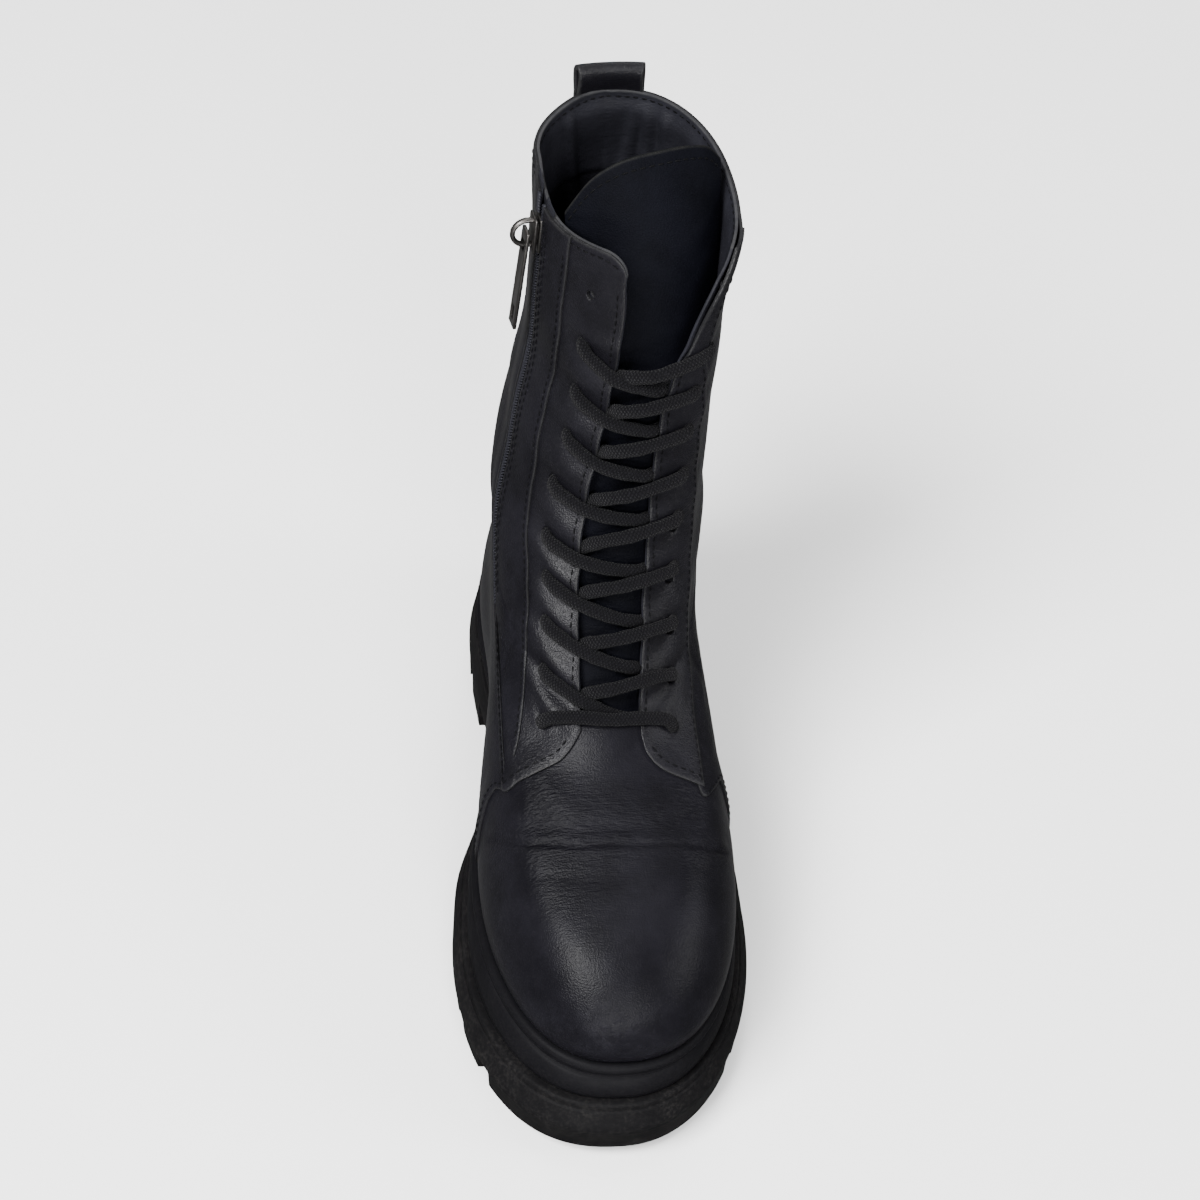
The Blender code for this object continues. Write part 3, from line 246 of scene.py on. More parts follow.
def half_ring(ring, side):
    """Return two lobes of the half ring, each as running length, station and half width."""
    length = math.hypot(ring["back"] - ring["front"], ring["back_up"] - ring["front_up"])
    t = np.linspace(0, math.pi / 2, 200)
    lobes = []
    for power, base, span in ((ring["front_power"], 0.0, ring["widest"]),
                              (ring["back_power"], 1.0, ring["widest"] - 1.0)):
        station = base + span * (1 - np.cos(t) ** (2 / power))
        waist = bell(station - WAIST_AT, WAIST_SPREAD) * ring[side + "_waist"]
        width = (ring[side] - waist) * np.sin(t) ** (2 / power)
        steps = np.hypot(np.diff(station) * length, np.diff(width))
        lobes.append((np.concatenate([[0.0], np.cumsum(steps)]), station, width))
    return lobes


def ring_point(ring, station, width):
    """Turn a station along the ring and a signed half width into mm coordinates."""
    x = width + ring["shift"] + ring["twist"] * (1 - 2 * station)
    y = ring["front"] + station * (ring["back"] - ring["front"])
    z = ring["front_up"] + station * (ring["back_up"] - ring["front_up"])
    return np.stack([x, y, z - ring["dip"] * bell(station - DIP_AT, DIP_SPREAD)], axis=-1)


SKIN_ROWS, SKIN_COLUMNS, SKIN_TOP = 400, 1200, 1.08


@lru_cache(maxsize=1)
def skin_grid():
    """Points and outward normals of the outer face by v and turn, lobe lengths, and mm per v."""
    turn = np.arange(SKIN_COLUMNS) * 2 / SKIN_COLUMNS
    side_share = np.where(turn <= 1, turn, 2 - turn)
    points, lengths = [], []
    for v in np.linspace(0, 1, SKIN_ROWS + 1):
        ring = ring_values(v)
        row = np.zeros((SKIN_COLUMNS, 3))
        row_lengths = []
        for side, sign, here in (("lateral", 1.0, turn <= 1), ("medial", -1.0, turn > 1)):
            front, back = half_ring(ring, side)
            q = side_share[here]
            ahead, behind = q * 2 * front[0][-1], (1 - q) * 2 * back[0][-1]
            s, w = (np.where(q <= 0.5, np.interp(ahead, front[0], front[k]), np.interp(behind, back[0], back[k]))
                    for k in (1, 2))
            row[here] = ring_point(ring, s, sign * w)
            row_lengths += [front[0][-1], back[0][-1]]
        points.append(row)
        lengths.append(row_lengths)
    points = np.array(points)
    along = np.roll(points, -2, axis=1) - np.roll(points, 2, axis=1)
    up = np.gradient(points, axis=0)
    return points, unit(np.cross(along, up)), np.array(lengths), np.linalg.norm(up, axis=-1)[..., None] * SKIN_ROWS


def grid_row(v, top):
    """Number of the grid row under v, and how far v lies over it, 0 to 1."""
    row = np.clip(v, 0, top) * SKIN_ROWS
    low = np.clip(row.astype(int), 0, SKIN_ROWS - 1)
    return low, (row - low)[..., None]


def sample(grid, v, turn):
    """Read a skin grid between its points; just above the collar it runs on straight."""
    low, up = grid_row(v, SKIN_TOP)
    column = (turn % 2) / 2 * SKIN_COLUMNS
    left = column.astype(int)
    along = (column - left)[..., None]
    left %= SKIN_COLUMNS
    right = (left + 1) % SKIN_COLUMNS
    below, above = (grid[row, left] * (1 - along) + grid[row, right] * along for row in (low, low + 1))
    return below * (1 - up) + above * up


def lobe_lengths(v):
    """Front and back lengths in mm of the lateral and medial half rings at v."""
    lengths = skin_grid()[2]
    low, up = grid_row(v, 1)
    found = lengths[low] * (1 - up) + lengths[low + 1] * up
    return [found[..., k] for k in range(4)]


def turn_at(v, mm):
    """Turn of a place given in signed mm along its ring."""
    v, mm = np.broadcast_arrays(np.asarray(v, float), np.asarray(mm, float))
    lateral_front, lateral_back, medial_front, medial_back = lobe_lengths(v)
    front = np.where(mm >= 0, lateral_front, medial_front)
    back = np.where(mm >= 0, lateral_back, medial_back)
    away = np.abs(mm)
    share = np.where(away <= front, 0.5 * away / front, 0.5 + 0.5 * (away - front) / back)
    return np.where(mm >= 0, share, 2 - share)


def mm_at(v, turn):
    """Signed mm along the ring of a place given by its turn."""
    lateral_front, lateral_back, medial_front, medial_back = lobe_lengths(v)
    turn = turn % 2
    lateral = turn <= 1
    share = np.where(lateral, turn, 2 - turn)
    front, back = np.where(lateral, lateral_front, medial_front), np.where(lateral, lateral_back, medial_back)
    away = np.where(share <= 0.5, share * 2 * front, front + (share - 0.5) * 2 * back)
    return np.where(lateral, away, -away)


def facing(v, side):
    """Distance in mm of one throat edge from the front centre."""
    return smooth_table(FACING_TABLE, v)[..., 0 if side == "lateral" else 1]


def zip_mm(v):
    """Signed mm of the zip's line."""
    return -smooth_line(ZIP_TABLE, v)


def eyelet(pair, side):
    """v and signed mm of one lace hole."""
    lateral_v, lateral, medial_v, medial = EYELET_TABLE[pair]
    return (lateral_v, lateral) if side == "lateral" else (medial_v, -medial)


VAMP_SWELLS = (          # mm, v, reach in mm, reach in v, rise in mm
    (-26, 0.352, 22, 0.020, 0.55), (-30, 0.238, 26, 0.026, 0.55), (-13, 0.135, 17, 0.030, 0.60),
    (22, 0.250, 24, 0.030, 0.35), (10, 0.185, 20, 0.022, -0.35),
)
FOLDS = (                # line of (mm, v), depth and half width in mm, height of the ridges beside it in mm
    (((-104, 0.164), (-80, 0.215), (-55, 0.260), (-23, 0.314), (-1, 0.337), (20, 0.317), (49, 0.265),
      (78, 0.200), (90, 0.172)), 0.85, 1.25, 0.16),
    (((-62, 0.262), (-30, 0.318), (-4, 0.350), (20, 0.334), (44, 0.292)), 0.75, 4.2, 0.42),
    (((-96, 0.150), (-78, 0.183), (-46, 0.247), (-19, 0.291), (2, 0.306), (22, 0.300)), 0.16, 2.0, 0.10),
    (((-84, 0.330), (-76, 0.372), (-62, 0.420), (-50, 0.450)), 0.60, 3.5, 0.40),
    (((46, 0.455), (60, 0.420), (78, 0.372), (96, 0.330)), 0.80, 4.0, 0.60),
    (((62, 0.520), (84, 0.480), (110, 0.470)), 0.60, 4.5, 0.50),
    (((-118, 0.450), (-104, 0.470), (-92, 0.520)), 0.60, 4.0, 0.50),
    (((50, 0.620), (80, 0.590), (112, 0.600)), 0.45, 5.0, 0.45),
    (((-120, 0.600), (-104, 0.610), (-84, 0.650)), 0.45, 5.0, 0.40),
)


FOLD_END = 14.0          # mm over which a fold fades at either end


def fold_height(v, mm, fold, mm_per_v):
    """Height in mm that one fold adds, and how near it is, 0 to 1."""
    line, depth, width, ridge = fold
    line = np.array(line, float)
    centre = smooth_line(line, mm)
    away = (v - centre) * mm_per_v
    ends = eased((mm - line[0, 0]) / FOLD_END) * eased((line[-1, 0] - mm) / FOLD_END)
    trough = -depth * bell(away, width)
    beside = ridge * (bell(away - 2.4 * width, 1.9 * width) + 0.7 * bell(away + 2.4 * width, 1.7 * width))
    return (trough + beside) * ends, bell(away, 5.0 * width) * ends * min(1.0, 1.3 * depth)


PUFFS = (("lateral", 1.0, 0.60), ("medial", -1.0, 1.20))       # side, its sign, mm of swell between the laces
PUFF_PLACE, PUFF_REACH = 0.75, 15.0     # share of the way to the lace holes, and mm from there
HOLE_DIP, HOLE_DIP_REACH, HOLE_WRINKLING, HOLE_WRINKLING_REACH = 0.7, 3.6, 0.42, 12.0
SHAFT_WAVES = ((23, 0.035, 0.0, 0.35), (41, -0.05, 1.3, 0.22))     # per v, per mm, start, mm high
INSTEP_AT, INSTEP_REACH, INSTEP_WRINKLING = 0.325, 0.075, 0.5
RIM_WAVE_AT, RIM_WAVE_LENGTH, RIM_WAVE_HEIGHT = -136, 47, 1.1      # soft waves of the medial collar, mm


def relief(v, mm):
    """Height in mm of folds, swells between the laces and soft waves, and the wrinkling, 0 to 1."""
    v, mm = np.broadcast_arrays(np.asarray(v, float), np.asarray(mm, float))
    mm_per_v = sample(skin_grid()[3], v, turn_at(v, mm))[..., 0]
    height, wrinkling = np.zeros(v.shape), np.zeros(v.shape)
    for fold in FOLDS:
        rise, near = fold_height(v, mm, fold, mm_per_v)
        height = height + rise
        wrinkling = np.maximum(wrinkling, near)
    for side, sign, strength in PUFFS:
        holes = np.array([eyelet(pair, side) for pair in range(PAIRS)])
        count = np.interp(v, holes[:, 0] - 0.006, np.arange(PAIRS))
        hole_mm = np.interp(v, holes[:, 0], np.abs(holes[:, 1]))
        inside = np.where(mm * sign > 0, bell(np.abs(mm) - hole_mm * PUFF_PLACE, PUFF_REACH), 0.0)
        reach = eased((v - 0.415) / 0.03) * eased((0.93 - v) / 0.04)
        height = height - strength * np.cos(2 * math.pi * count) * inside * reach
        for hole_v, hole in holes:
            away = np.hypot((v - hole_v) * mm_per_v, mm - hole)
            height = height - HOLE_DIP * bell(away, HOLE_DIP_REACH)
            wrinkling = np.maximum(wrinkling, HOLE_WRINKLING * bell(away, HOLE_WRINKLING_REACH))
    waves = sum(np.sin(v * per_v + mm * per_mm + start) * rise for per_v, per_mm, start, rise in SHAFT_WAVES)
    height = height + waves * eased((v - 0.40) / 0.15)
    instep = bell(v - INSTEP_AT, INSTEP_REACH) * eased((0.42 - v) / 0.04)
    wrinkling = np.maximum(wrinkling, INSTEP_WRINKLING * instep)
    rim = np.cos((mm - RIM_WAVE_AT) * 2 * math.pi / RIM_WAVE_LENGTH)
    height = height + RIM_WAVE_HEIGHT * (rim * eased((-76 - mm) / 12) * eased((v - 0.84) / 0.14))
    for at_mm, at_v, reach_mm, reach_v, rise in VAMP_SWELLS:
        height = height + rise * np.exp(-((mm - at_mm) / reach_mm) ** 2 - ((v - at_v) / reach_v) ** 2)
    vamp = np.sin(mm * 0.06 + v * 19) * 0.18
    return height + vamp * eased((0.40 - v) / 0.1) * eased(v / 0.06), wrinkling


def skin_normal(v, turn):
    """Outward unit normals of the outer face."""
    return unit(sample(skin_grid()[1], np.asarray(v, float), np.asarray(turn, float)))


def skin(v, turn, height=0.0, folded=True):
    """Points in mm at a height over the boot's outer face, folds included."""
    v, turn, height = np.broadcast_arrays(np.asarray(v, float), np.asarray(turn, float),
                                          np.asarray(height, float))
    lift = height + (relief(v, mm_at(v, turn))[0] if folded else 0.0)
    return sample(skin_grid()[0], v, turn) + skin_normal(v, turn) * lift[..., None]


# Sole lines ----
def rounded_end(share, power):
    """Half width of a rounded end, from 0 at its tip (share = 0) to 1 where it meets the side."""
    return (1 - (1 - min(max(share, 0.0), 1.0)) ** power) ** (1 / power)


def outline_width(station, side):
    """Half width in mm of the outsole's widest line."""
    index = 0 if side == "lateral" else 1
    toe = rounded_end(station / TOE_END, TOE_POWERS[index])
    heel = rounded_end((1 - station) / (1 - HEEL_END), HEEL_POWER)
    return smooth_table(OUTLINE_TABLE, station)[index] / 100 * SOLE_BALL_WIDTH / 2 * toe * heel


@lru_cache(maxsize=2)
def feather_lobes(side):
    """The two lobes of the feather line on one side."""
    return half_ring(ring_values(0.0), side)


def feather_width(station, side):
    """Half width in mm of the feather line."""
    (_, front_s, front_w), (_, back_s, back_w) = feather_lobes(side)
    if station <= front_s[-1]:
        return float(np.interp(station, front_s, front_w))
    return float(np.interp(station, back_s[::-1], back_w[::-1]))


def seat(station):
    """Height in mm of the feather line."""
    return float(ring_point(ring_values(0.0), station, 0.0)[2])


def rand_level(station):
    """Height in mm of the outsole's top."""
    return float(smooth_table(LEVEL_TABLE, station)[0])


def web_level(station):
    """Height in mm of the outsole's underside between the lugs."""
    return float(smooth_table(LEVEL_TABLE, station)[1])


def tread_height(y):
    """Height in mm of the tread, which rises only towards the toe."""
    share = max(0.0, (SPRING_START - y) / (SPRING_START - TOE_TIP))
    return TOE_SPRING * share ** TOE_SPRING_POWER


def sole_point(station, side, spread, height):
    """A point in mm between the feather line (spread 0) and the widest line (spread 1)."""
    sign = 1.0 if side == "lateral" else -1.0
    inner, outer = feather_width(station, side), outline_width(station, side)
    inner_y = FEATHER_TOE + station * LAST_LENGTH
    outer_y = TOE_TIP + station * SOLE_LENGTH
    return (sign * (inner + (outer - inner) * spread), inner_y + (outer_y - inner_y) * spread, height)


def wall_loops(stations, wall, height):
    """Loops of points, toe to heel on the lateral side and back on the medial, for lines of a wall.

    Each line holds its spread and what the height function takes after the station.
    """
    loops = []
    for spread, *line in wall:
        lateral, medial = ([sole_point(s, side, spread, height(s, *line)) for s in stations]
                           for side in ("lateral", "medial"))
        loops.append(lateral + medial[::-1])
    return loops


def even_stations(count):
    """Stations close together at the two ends, where the outline turns."""
    return [(1 - math.cos(math.pi * i / count)) / 2 for i in range(count + 1)]


# Finishes ----
DUST_COLOUR = (0.027, 0.025, 0.0235, 1.0)
THREADS_TO_WAVES = 0.314     # scale of a wave texture whose crests lie 1 mm apart, on a UV map in mm


class Wire:
    """One shader socket; sums and products of it add Math nodes."""

    def __init__(self, finish, socket):
        self.finish, self.socket = finish, socket

    def maths(self, operation, first, second):
        return self.finish.add("ShaderNodeMath", {"operation": operation}, {0: first, 1: second})

    def __add__(self, other):
        return self.maths("ADD", self, other)

    def __sub__(self, other):
        return self.maths("SUBTRACT", self, other)

    def __rsub__(self, other):
        return self.maths("SUBTRACT", other, self)

    def __mul__(self, other):
        return self.maths("MULTIPLY", self, other)

    __radd__, __rmul__ = __add__, __mul__

    def above(self, low, high):
        """0 below low, 1 above high, soft between."""
        settings = {"interpolation_type": "SMOOTHSTEP"}
        return self.finish.add("ShaderNodeMapRange", settings, {"Value": self, "From Min": low, "From Max": high})


class Finish:
    """A material under construction: one Principled shader and the nodes that feed it."""

    def __init__(self, name, **constants):
        material = bpy.data.materials.new(name)
        material.use_nodes = True
        self.tree = material.node_tree
        self.shader = self.tree.nodes["Principled BSDF"]
        for socket, value in constants.items():
            self.shader.inputs[socket.replace("_", " ").title().replace("Ior", "IOR")].default_value = value

    def add(self, kind, settings=None, inputs=None, output=0):
        """Add a node, set it up, give its sockets values or wires, and return one of its outputs."""
        node = self.tree.nodes.new(kind)
        for name, value in (settings or {}).items():
            setattr(node, name, value)
        for socket, value in (inputs or {}).items():
            if isinstance(value, Wire):
                self.tree.links.new(value.socket, node.inputs[socket])
            else:
                node.inputs[socket].default_value = value
        return Wire(self, node.outputs[output])

    def feed(self, socket, wire):
        """Link a wire to one of the shader's sockets."""
        self.tree.links.new(wire.socket, self.shader.inputs[socket])

    def coat(self, tone, rough, height, depth):
        """Feed colour, roughness and a relief of height 0 to 1, where 1 stands for depth in metres."""
        self.feed("Base Color", tone)
        self.feed("Roughness", rough)
        self.feed("Normal", self.add("ShaderNodeBump", {}, {"Height": height, "Distance": depth}))

    def where(self, source="Object", **mapping):
        """Coordinates on the piece, turned or stretched by a Mapping node."""
        start = self.add("ShaderNodeTexCoord", {}, {}, source)
        return self.add("ShaderNodeMapping", {}, {"Vector": start, **mapping}) if mapping else start

    def place(self, stretch=(1.0, 1.0, 1.0)):
        """Coordinates on the piece in metres, stretched."""
        return self.where(Scale=stretch)

    def noise(self, place, scale, detail=3.0, roughness=0.55):
        """Soft noise, 0 to 1."""
        return self.add("ShaderNodeTexNoise", {}, {"Vector": place, "Scale": scale, "Detail": detail,
                                                   "Roughness": roughness})

    def waves(self, place, bands, scale, **inputs):
        """Parallel waves, 0 to 1, whose crests follow each other along bands."""
        inputs = {name.replace("_", " "): value for name, value in inputs.items()}
        return self.add("ShaderNodeTexWave", {"bands_direction": bands}, {"Vector": place, "Scale": scale, **inputs})

    def mark(self, name):
        """A number that the piece carries at each of its points."""
        return self.add("ShaderNodeAttribute", {"attribute_name": name}, {}, "Fac")

    def blend(self, share, first, second):
        """Mix two colours."""
        return self.add("ShaderNodeMix", {"data_type": "RGBA"}, {0: share, 6: first, 7: second}, 2)

    def mottle(self, share, colour, dark, light):
        """Mix a darker and a lighter shade of one colour."""
        return self.blend(share, shade(colour, dark), shade(colour, light))


def shade(colour, factor):
    """A colour made lighter or darker, with its alpha."""
    return (*(min(1.0, c * factor) for c in colour[:3]), 1.0)


def grey(colour):
    """The grey of a colour's own mean."""
    return (sum(colour[:3]) / 3,) * 3


def leather_finish(name, colour, roughness, gloss, grain, wear):
    """Smooth leather: fine pebble grain, wrinkles near folds, rubbed edges and faint scuffs."""
    finish = Finish(name, specular_ior_level=gloss)
    place = finish.place()
    wrinkled, edge = finish.mark("wrinkling"), finish.mark("edge")
    pebble = finish.add("ShaderNodeTexVoronoi", {}, {"Vector": place, "Scale": 1600.0})
    pores = finish.noise(place, 2600.0, 2.0)
    across = finish.noise(finish.place((0.22, 1.0, 1.0)), 900.0, 3.0, 0.6)
    crumple = finish.noise(finish.place((0.30, 1.1, 1.1)), 420.0, 4.0, 0.62)
    broad = finish.noise(place, 34.0, 5.0, 0.65)
    rub = finish.noise(place, 240.0, 5.0, 0.7)
    fine = finish.noise(place, 700.0, 3.0, 0.7)
    worn = (1.0 - edge.above(0.3, 1.3)) * (rub.above(0.25, 0.60) * 0.6 + 0.4)
    scuff = finish.mark("scuff") * rub.above(0.47, 0.66)
    tone = finish.mottle(broad.above(0.32, 0.70), colour, 0.74, 1.34)
    tone = finish.blend(scuff * 0.5, tone, shade(colour, 2.2))
    tone = finish.blend(worn * wear, tone, shade(grey(colour), 3.6))
    rough = roughness + (broad - 0.5) * 0.16 + (fine - 0.5) * 0.12 + scuff * 0.16 + wrinkled * 0.05
    height = (pebble * 0.6 + pores * 0.35) * grain
    height = height + (across * 1.5 + crumple * 1.3) * wrinkled * 2.0 + rub * scuff * 1.4 + broad * 0.7
    finish.coat(tone, rough, height, 0.00022)


def raw_edge_finish(name, colour):
    """The cut edge of leather: lighter, fibrous and dry."""
    finish = Finish(name, specular_ior_level=0.05)
    fibre = finish.noise(finish.place(), 1500.0, 4.0, 0.7)
    finish.coat(finish.mottle(fibre.above(0.3, 0.7), grey(colour), 2.4, 7.0), 0.62 + fibre * 0.25, fibre, 0.00025)


def thread_finish(name, colour):
    """Twisted sewing thread."""
    finish = Finish(name, specular_ior_level=0.05)
    twist = finish.waves(finish.place(), "DIAGONAL", 900.0, Distortion=1.5)
    finish.coat(finish.mottle(finish.noise(finish.place(), 160.0), colour, 0.7, 1.9), 0.48 + twist * 0.2, twist,
                0.00008)


def rubber_finish(name, colour, roughness, dust):
    """Moulded rubber with a fine matt skin, soft blotches and pale dust low on its walls."""
    finish = Finish(name, specular_ior_level=0.028)
    place = finish.place()
    skin_noise = finish.noise(place, 1900.0, 3.0, 0.6)
    blotch = finish.noise(place, 55.0, 5.0, 0.62)
    speck = finish.noise(place, 700.0, 4.0, 0.75)
    streak = finish.noise(finish.place((0.7, 0.7, 3.0)), 160.0, 4.0, 0.6)
    low = 1.0 - finish.add("ShaderNodeSeparateXYZ", {}, {0: place}, 2).above(0.002, 0.030)
    dirt = (low * 0.5 + 0.5) * blotch.above(0.30, 0.70) * speck.above(0.42, 0.66) * dust
    tone = finish.blend(dirt, finish.mottle(blotch, colour, 0.82, 1.25), DUST_COLOUR)
    finish.coat(tone, roughness + (blotch - 0.5) * 0.18 + dirt * 0.3 + (streak - 0.5) * 0.1,
                skin_noise * 0.6 + speck * 0.35 + streak * 0.25, 0.00012)


def braid_finish(name, colour):
    """Round braided cotton: two sets of slanted strands over and under each other, and loose fuzz."""
    finish = Finish(name, specular_ior_level=0.04, sheen_weight=0.02, sheen_roughness=0.5)
    left, right = (finish.waves(finish.where("UV", Rotation=(0, 0, slant)), "X", 0.30, Distortion=0.35,
                                Detail_Scale=1.0) for slant in (0.62, -0.62))
    fibre = finish.noise(finish.where("UV", Scale=(0.5, 3.0, 1.0)), 3.0, 4.0, 0.7)
    fuzz = finish.noise(finish.place(), 900.0, 4.0, 0.75)
    strands = left * right
    tone = finish.mottle(strands.above(0.05, 0.55), colour, 0.55, 1.25)
    tone = finish.blend(fuzz.above(0.52, 0.78) * 0.5, tone, shade(colour, 3.0))
    finish.coat(tone, 0.80 + fibre * 0.15, strands * 0.9 + fibre * 0.35 + fuzz * 0.25, 0.00055)


def fabric_finish(name, colour, pitch):
    """Plain woven cloth whose threads follow the piece's own millimetre UV map."""
    finish = Finish(name, specular_ior_level=0.04)
    uv = finish.where("UV")
    warp, weft = (finish.waves(uv, bands, THREADS_TO_WAVES / pitch) for bands in "XY")
    slub = finish.noise(uv, 0.9 / pitch, 3.0, 0.6)
    finish.coat(finish.mottle(slub, colour, 0.7, 1.45), 0.78 + slub * 0.18, warp * weft + slub * 0.4,
                0.00030 * pitch)


def plastic_finish(name, colour, roughness):
    """Moulded nylon for the zip's teeth."""
    finish = Finish(name, specular_ior_level=0.08)
    fleck = finish.noise(finish.place(), 800.0, 3.0, 0.6)
    finish.coat(finish.mottle(fleck, colour, 0.8, 1.5), roughness + (fleck - 0.5) * 0.2, fleck, 0.00005)


def metal_finish(name, colour, roughness):
    """Plated metal with fine scratches and duller hollows."""
    finish = Finish(name, metallic=1.0)
    scratch = finish.noise(finish.place((1.0, 1.0, 6.0)), 900.0, 4.0, 0.7)
    cloud = finish.noise(finish.place(), 220.0, 3.0, 0.6)
    finish.coat(finish.mottle(cloud, colour, 0.72, 1.1),
                roughness + cloud * 0.14 + scratch.above(0.45, 0.75) * 0.12, scratch, 0.00003)


def floor_finish(name, colour):
    """A plain pale studio floor."""
    finish = Finish(name, roughness=0.75, specular_ior_level=0.2)
    finish.feed("Base Color", finish.mottle(finish.noise(finish.place(), 1.5, 2.0, 0.5), colour, 0.985, 1.0))


# Modelling ----
def clear_selection():
    """Leave edit mode and deselect everything."""
    if bpy.context.object and bpy.context.object.mode != "OBJECT":
        bpy.ops.object.mode_set(mode="OBJECT")
    bpy.ops.object.select_all(action="DESELECT")


def hold(thing):
    """Make one object the selected and active one."""
    clear_selection()
    thing.select_set(True)
    bpy.context.view_layer.objects.active = thing


def edit(thing, *steps):
    """Run steps in edit mode with everything selected."""
    hold(thing)
    bpy.ops.object.mode_set(mode="EDIT")
    bpy.ops.mesh.select_all(action="SELECT")
    for step in steps:
        step()
    bpy.ops.object.mode_set(mode="OBJECT")


def put(thing, points):
    """Move an object's vertices to mm points."""
    thing.data.vertices.foreach_set("co", (np.asarray(points, float) * MILLIMETRE).astype(np.float32).ravel())
    thing.data.update()


def mark(thing, name, values):
    """Give an object a number at each point."""
    layer = thing.data.attributes.get(name) or thing.data.attributes.new(name, "FLOAT", "POINT")
    layer.data.foreach_set("value", np.asarray(values, np.float32).ravel())


def modify(thing, kind, **settings):
    """Add a modifier, set it up and apply it."""
    hold(thing)
    modifier = thing.modifiers.new(kind.lower(), kind)
    for name, value in settings.items():
        setattr(modifier, name, value)
    if bpy.ops.object.modifier_apply(modifier=modifier.name) != {"FINISHED"}:
        raise RuntimeError("%s of %s could not be applied" % (kind, thing.name))


def vertex_table(thing):
    """An object's vertices, in its own units."""
    co = np.empty(len(thing.data.vertices) * 3, np.float32)
    thing.data.vertices.foreach_get("co", co)
    return co.reshape(-1, 3).astype(float)


def bent_grid(name, points, size=None, **marks):
    """A grid primitive bent to a table of mm points, rows by columns; size is its UV map in mm."""
    points = np.asarray(points, float)
    rows, columns = points.shape[:2]
    clear_selection()
    bpy.ops.mesh.primitive_grid_add(x_subdivisions=columns - 1, y_subdivisions=rows - 1, size=2)
    thing = bpy.context.object
    thing.name = thing.data.name = name
    co = vertex_table(thing)
    column, row = (np.rint((co[:, k] + 1) / 2 * (count - 1)).astype(int) for k, count in ((0, columns), (1, rows)))
    put(thing, points[row, column])
    for mark_name, values in marks.items():
        mark(thing, mark_name, np.broadcast_to(values, (rows, columns))[row, column])
    if size is not None:
        uv = thing.data.uv_layers.active.data
        flat = np.empty(len(uv) * 2, np.float32)
        uv.foreach_get("uv", flat)
        uv.foreach_set("uv", (flat.reshape(-1, 2) * np.asarray(size, np.float32)).ravel())
    return thing


def merge(thing, distance=0.02, fill=False):
    """Merge vertices that lie on each other, fill open ends if asked, and point all faces outwards."""
    edit(thing,
         lambda: bpy.ops.mesh.remove_doubles(threshold=distance * MILLIMETRE),
         lambda: fill and bpy.ops.mesh.fill_holes(sides=0),
         lambda: bpy.ops.mesh.normals_make_consistent(inside=False))


def bevel(thing, width, segments, degrees):
    """Round edges sharper than an angle; the width is in the object's units."""
    modify(thing, "BEVEL", width=width, segments=segments, limit_method="ANGLE", angle_limit=math.radians(degrees))


def give_wall(thing, thickness, edge_width=0.3, segments=2, offset=-1.0):
    """Turn a sheet into a solid: the wall grows inwards, or to both sides at offset 0; its rim is rounded."""
    modify(thing, "SOLIDIFY", thickness=thickness * MILLIMETRE, offset=offset, use_even_offset=False,
           use_rim=True, material_offset_rim=1)
    bevel(thing, edge_width * MILLIMETRE, segments, 50)


def complete(thing, materials, body="boot", stands_for=(), angle=45.0):
    """Smooth a finished piece, give it its materials and let it ride on its body."""
    thing.data.materials.clear()
    for material in materials:
        thing.data.materials.append(bpy.data.materials[material])
    hold(thing)
    bpy.ops.object.shade_smooth_by_angle(angle=math.radians(angle), keep_sharp_edges=False)
    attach(thing, body)
    if stands_for:
        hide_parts(*stands_for)


def joined(name, things):
    """Join objects into one."""
    clear_selection()
    for thing in things:
        thing.select_set(True)
    bpy.context.view_layer.objects.active = things[0]
    if len(things) > 1:
        bpy.ops.object.join()
    things[0].name = things[0].data.name = name
    return things[0]


def template(thing):
    """Take an object's mesh as arrays in mm and remove the object."""
    faces = [tuple(face.vertices) for face in thing.data.polygons]
    table = vertex_table(thing) / MILLIMETRE
    bpy.data.objects.remove(thing)
    return table, faces


def repeated(name, pattern, frames):
    """One object of many copies of a template; frames holds an origin and three axes for each copy."""
    vertices, faces = pattern
    origins, axes = frames
    placed = np.einsum("vk,nkc->nvc", vertices, axes) + origins[:, None, :]
    count = len(vertices)
    every = [tuple(i + k * count for i in face) for k in range(len(origins)) for face in faces]
    mesh = bpy.data.meshes.new(name)
    mesh.from_pydata((placed.reshape(-1, 3) * MILLIMETRE).tolist(), [], every)
    thing = bpy.data.objects.new(name, mesh)
    bpy.context.scene.collection.objects.link(thing)
    return thing


def stitch_pattern(length, width):
    """One stitch along X: a soft thread pulled down at both ends."""
    clear_selection()
    bpy.ops.mesh.primitive_uv_sphere_add(segments=8, ring_count=6, radius=0.5)
    thing = bpy.context.object
    edit(thing,
         lambda: bpy.ops.transform.rotate(value=math.pi / 2, orient_axis="Y", center_override=(0, 0, 0)),
         lambda: bpy.ops.transform.resize(value=(length, width, width * 0.8), center_override=(0, 0, 0)))
    co = vertex_table(thing)
    co[:, 2] -= width * 0.55 * (co[:, 0] / (length / 2)) ** 4
    put(thing, co)
    return template(thing)


def even_places(line, pitch):
    """Places every pitch mm along a line of (v, turn) points, measured on the boot."""
    line = np.asarray(line, float)
    run = running_length(skin(line[:, 0], line[:, 1], 0.0, folded=False))
    count = max(2, int(run[-1] / pitch))
    return read_along((np.arange(count) + 0.5) * run[-1] / count, run, line).T


def axes_along(here, normal):
    """Axes of stitches whose centres and surface normals are given: ahead, sideways, up."""
    ahead = unit(np.gradient(here, axis=0))
    side = unit(np.cross(normal, ahead))
    return np.stack([ahead, side, np.cross(ahead, side)], axis=1)


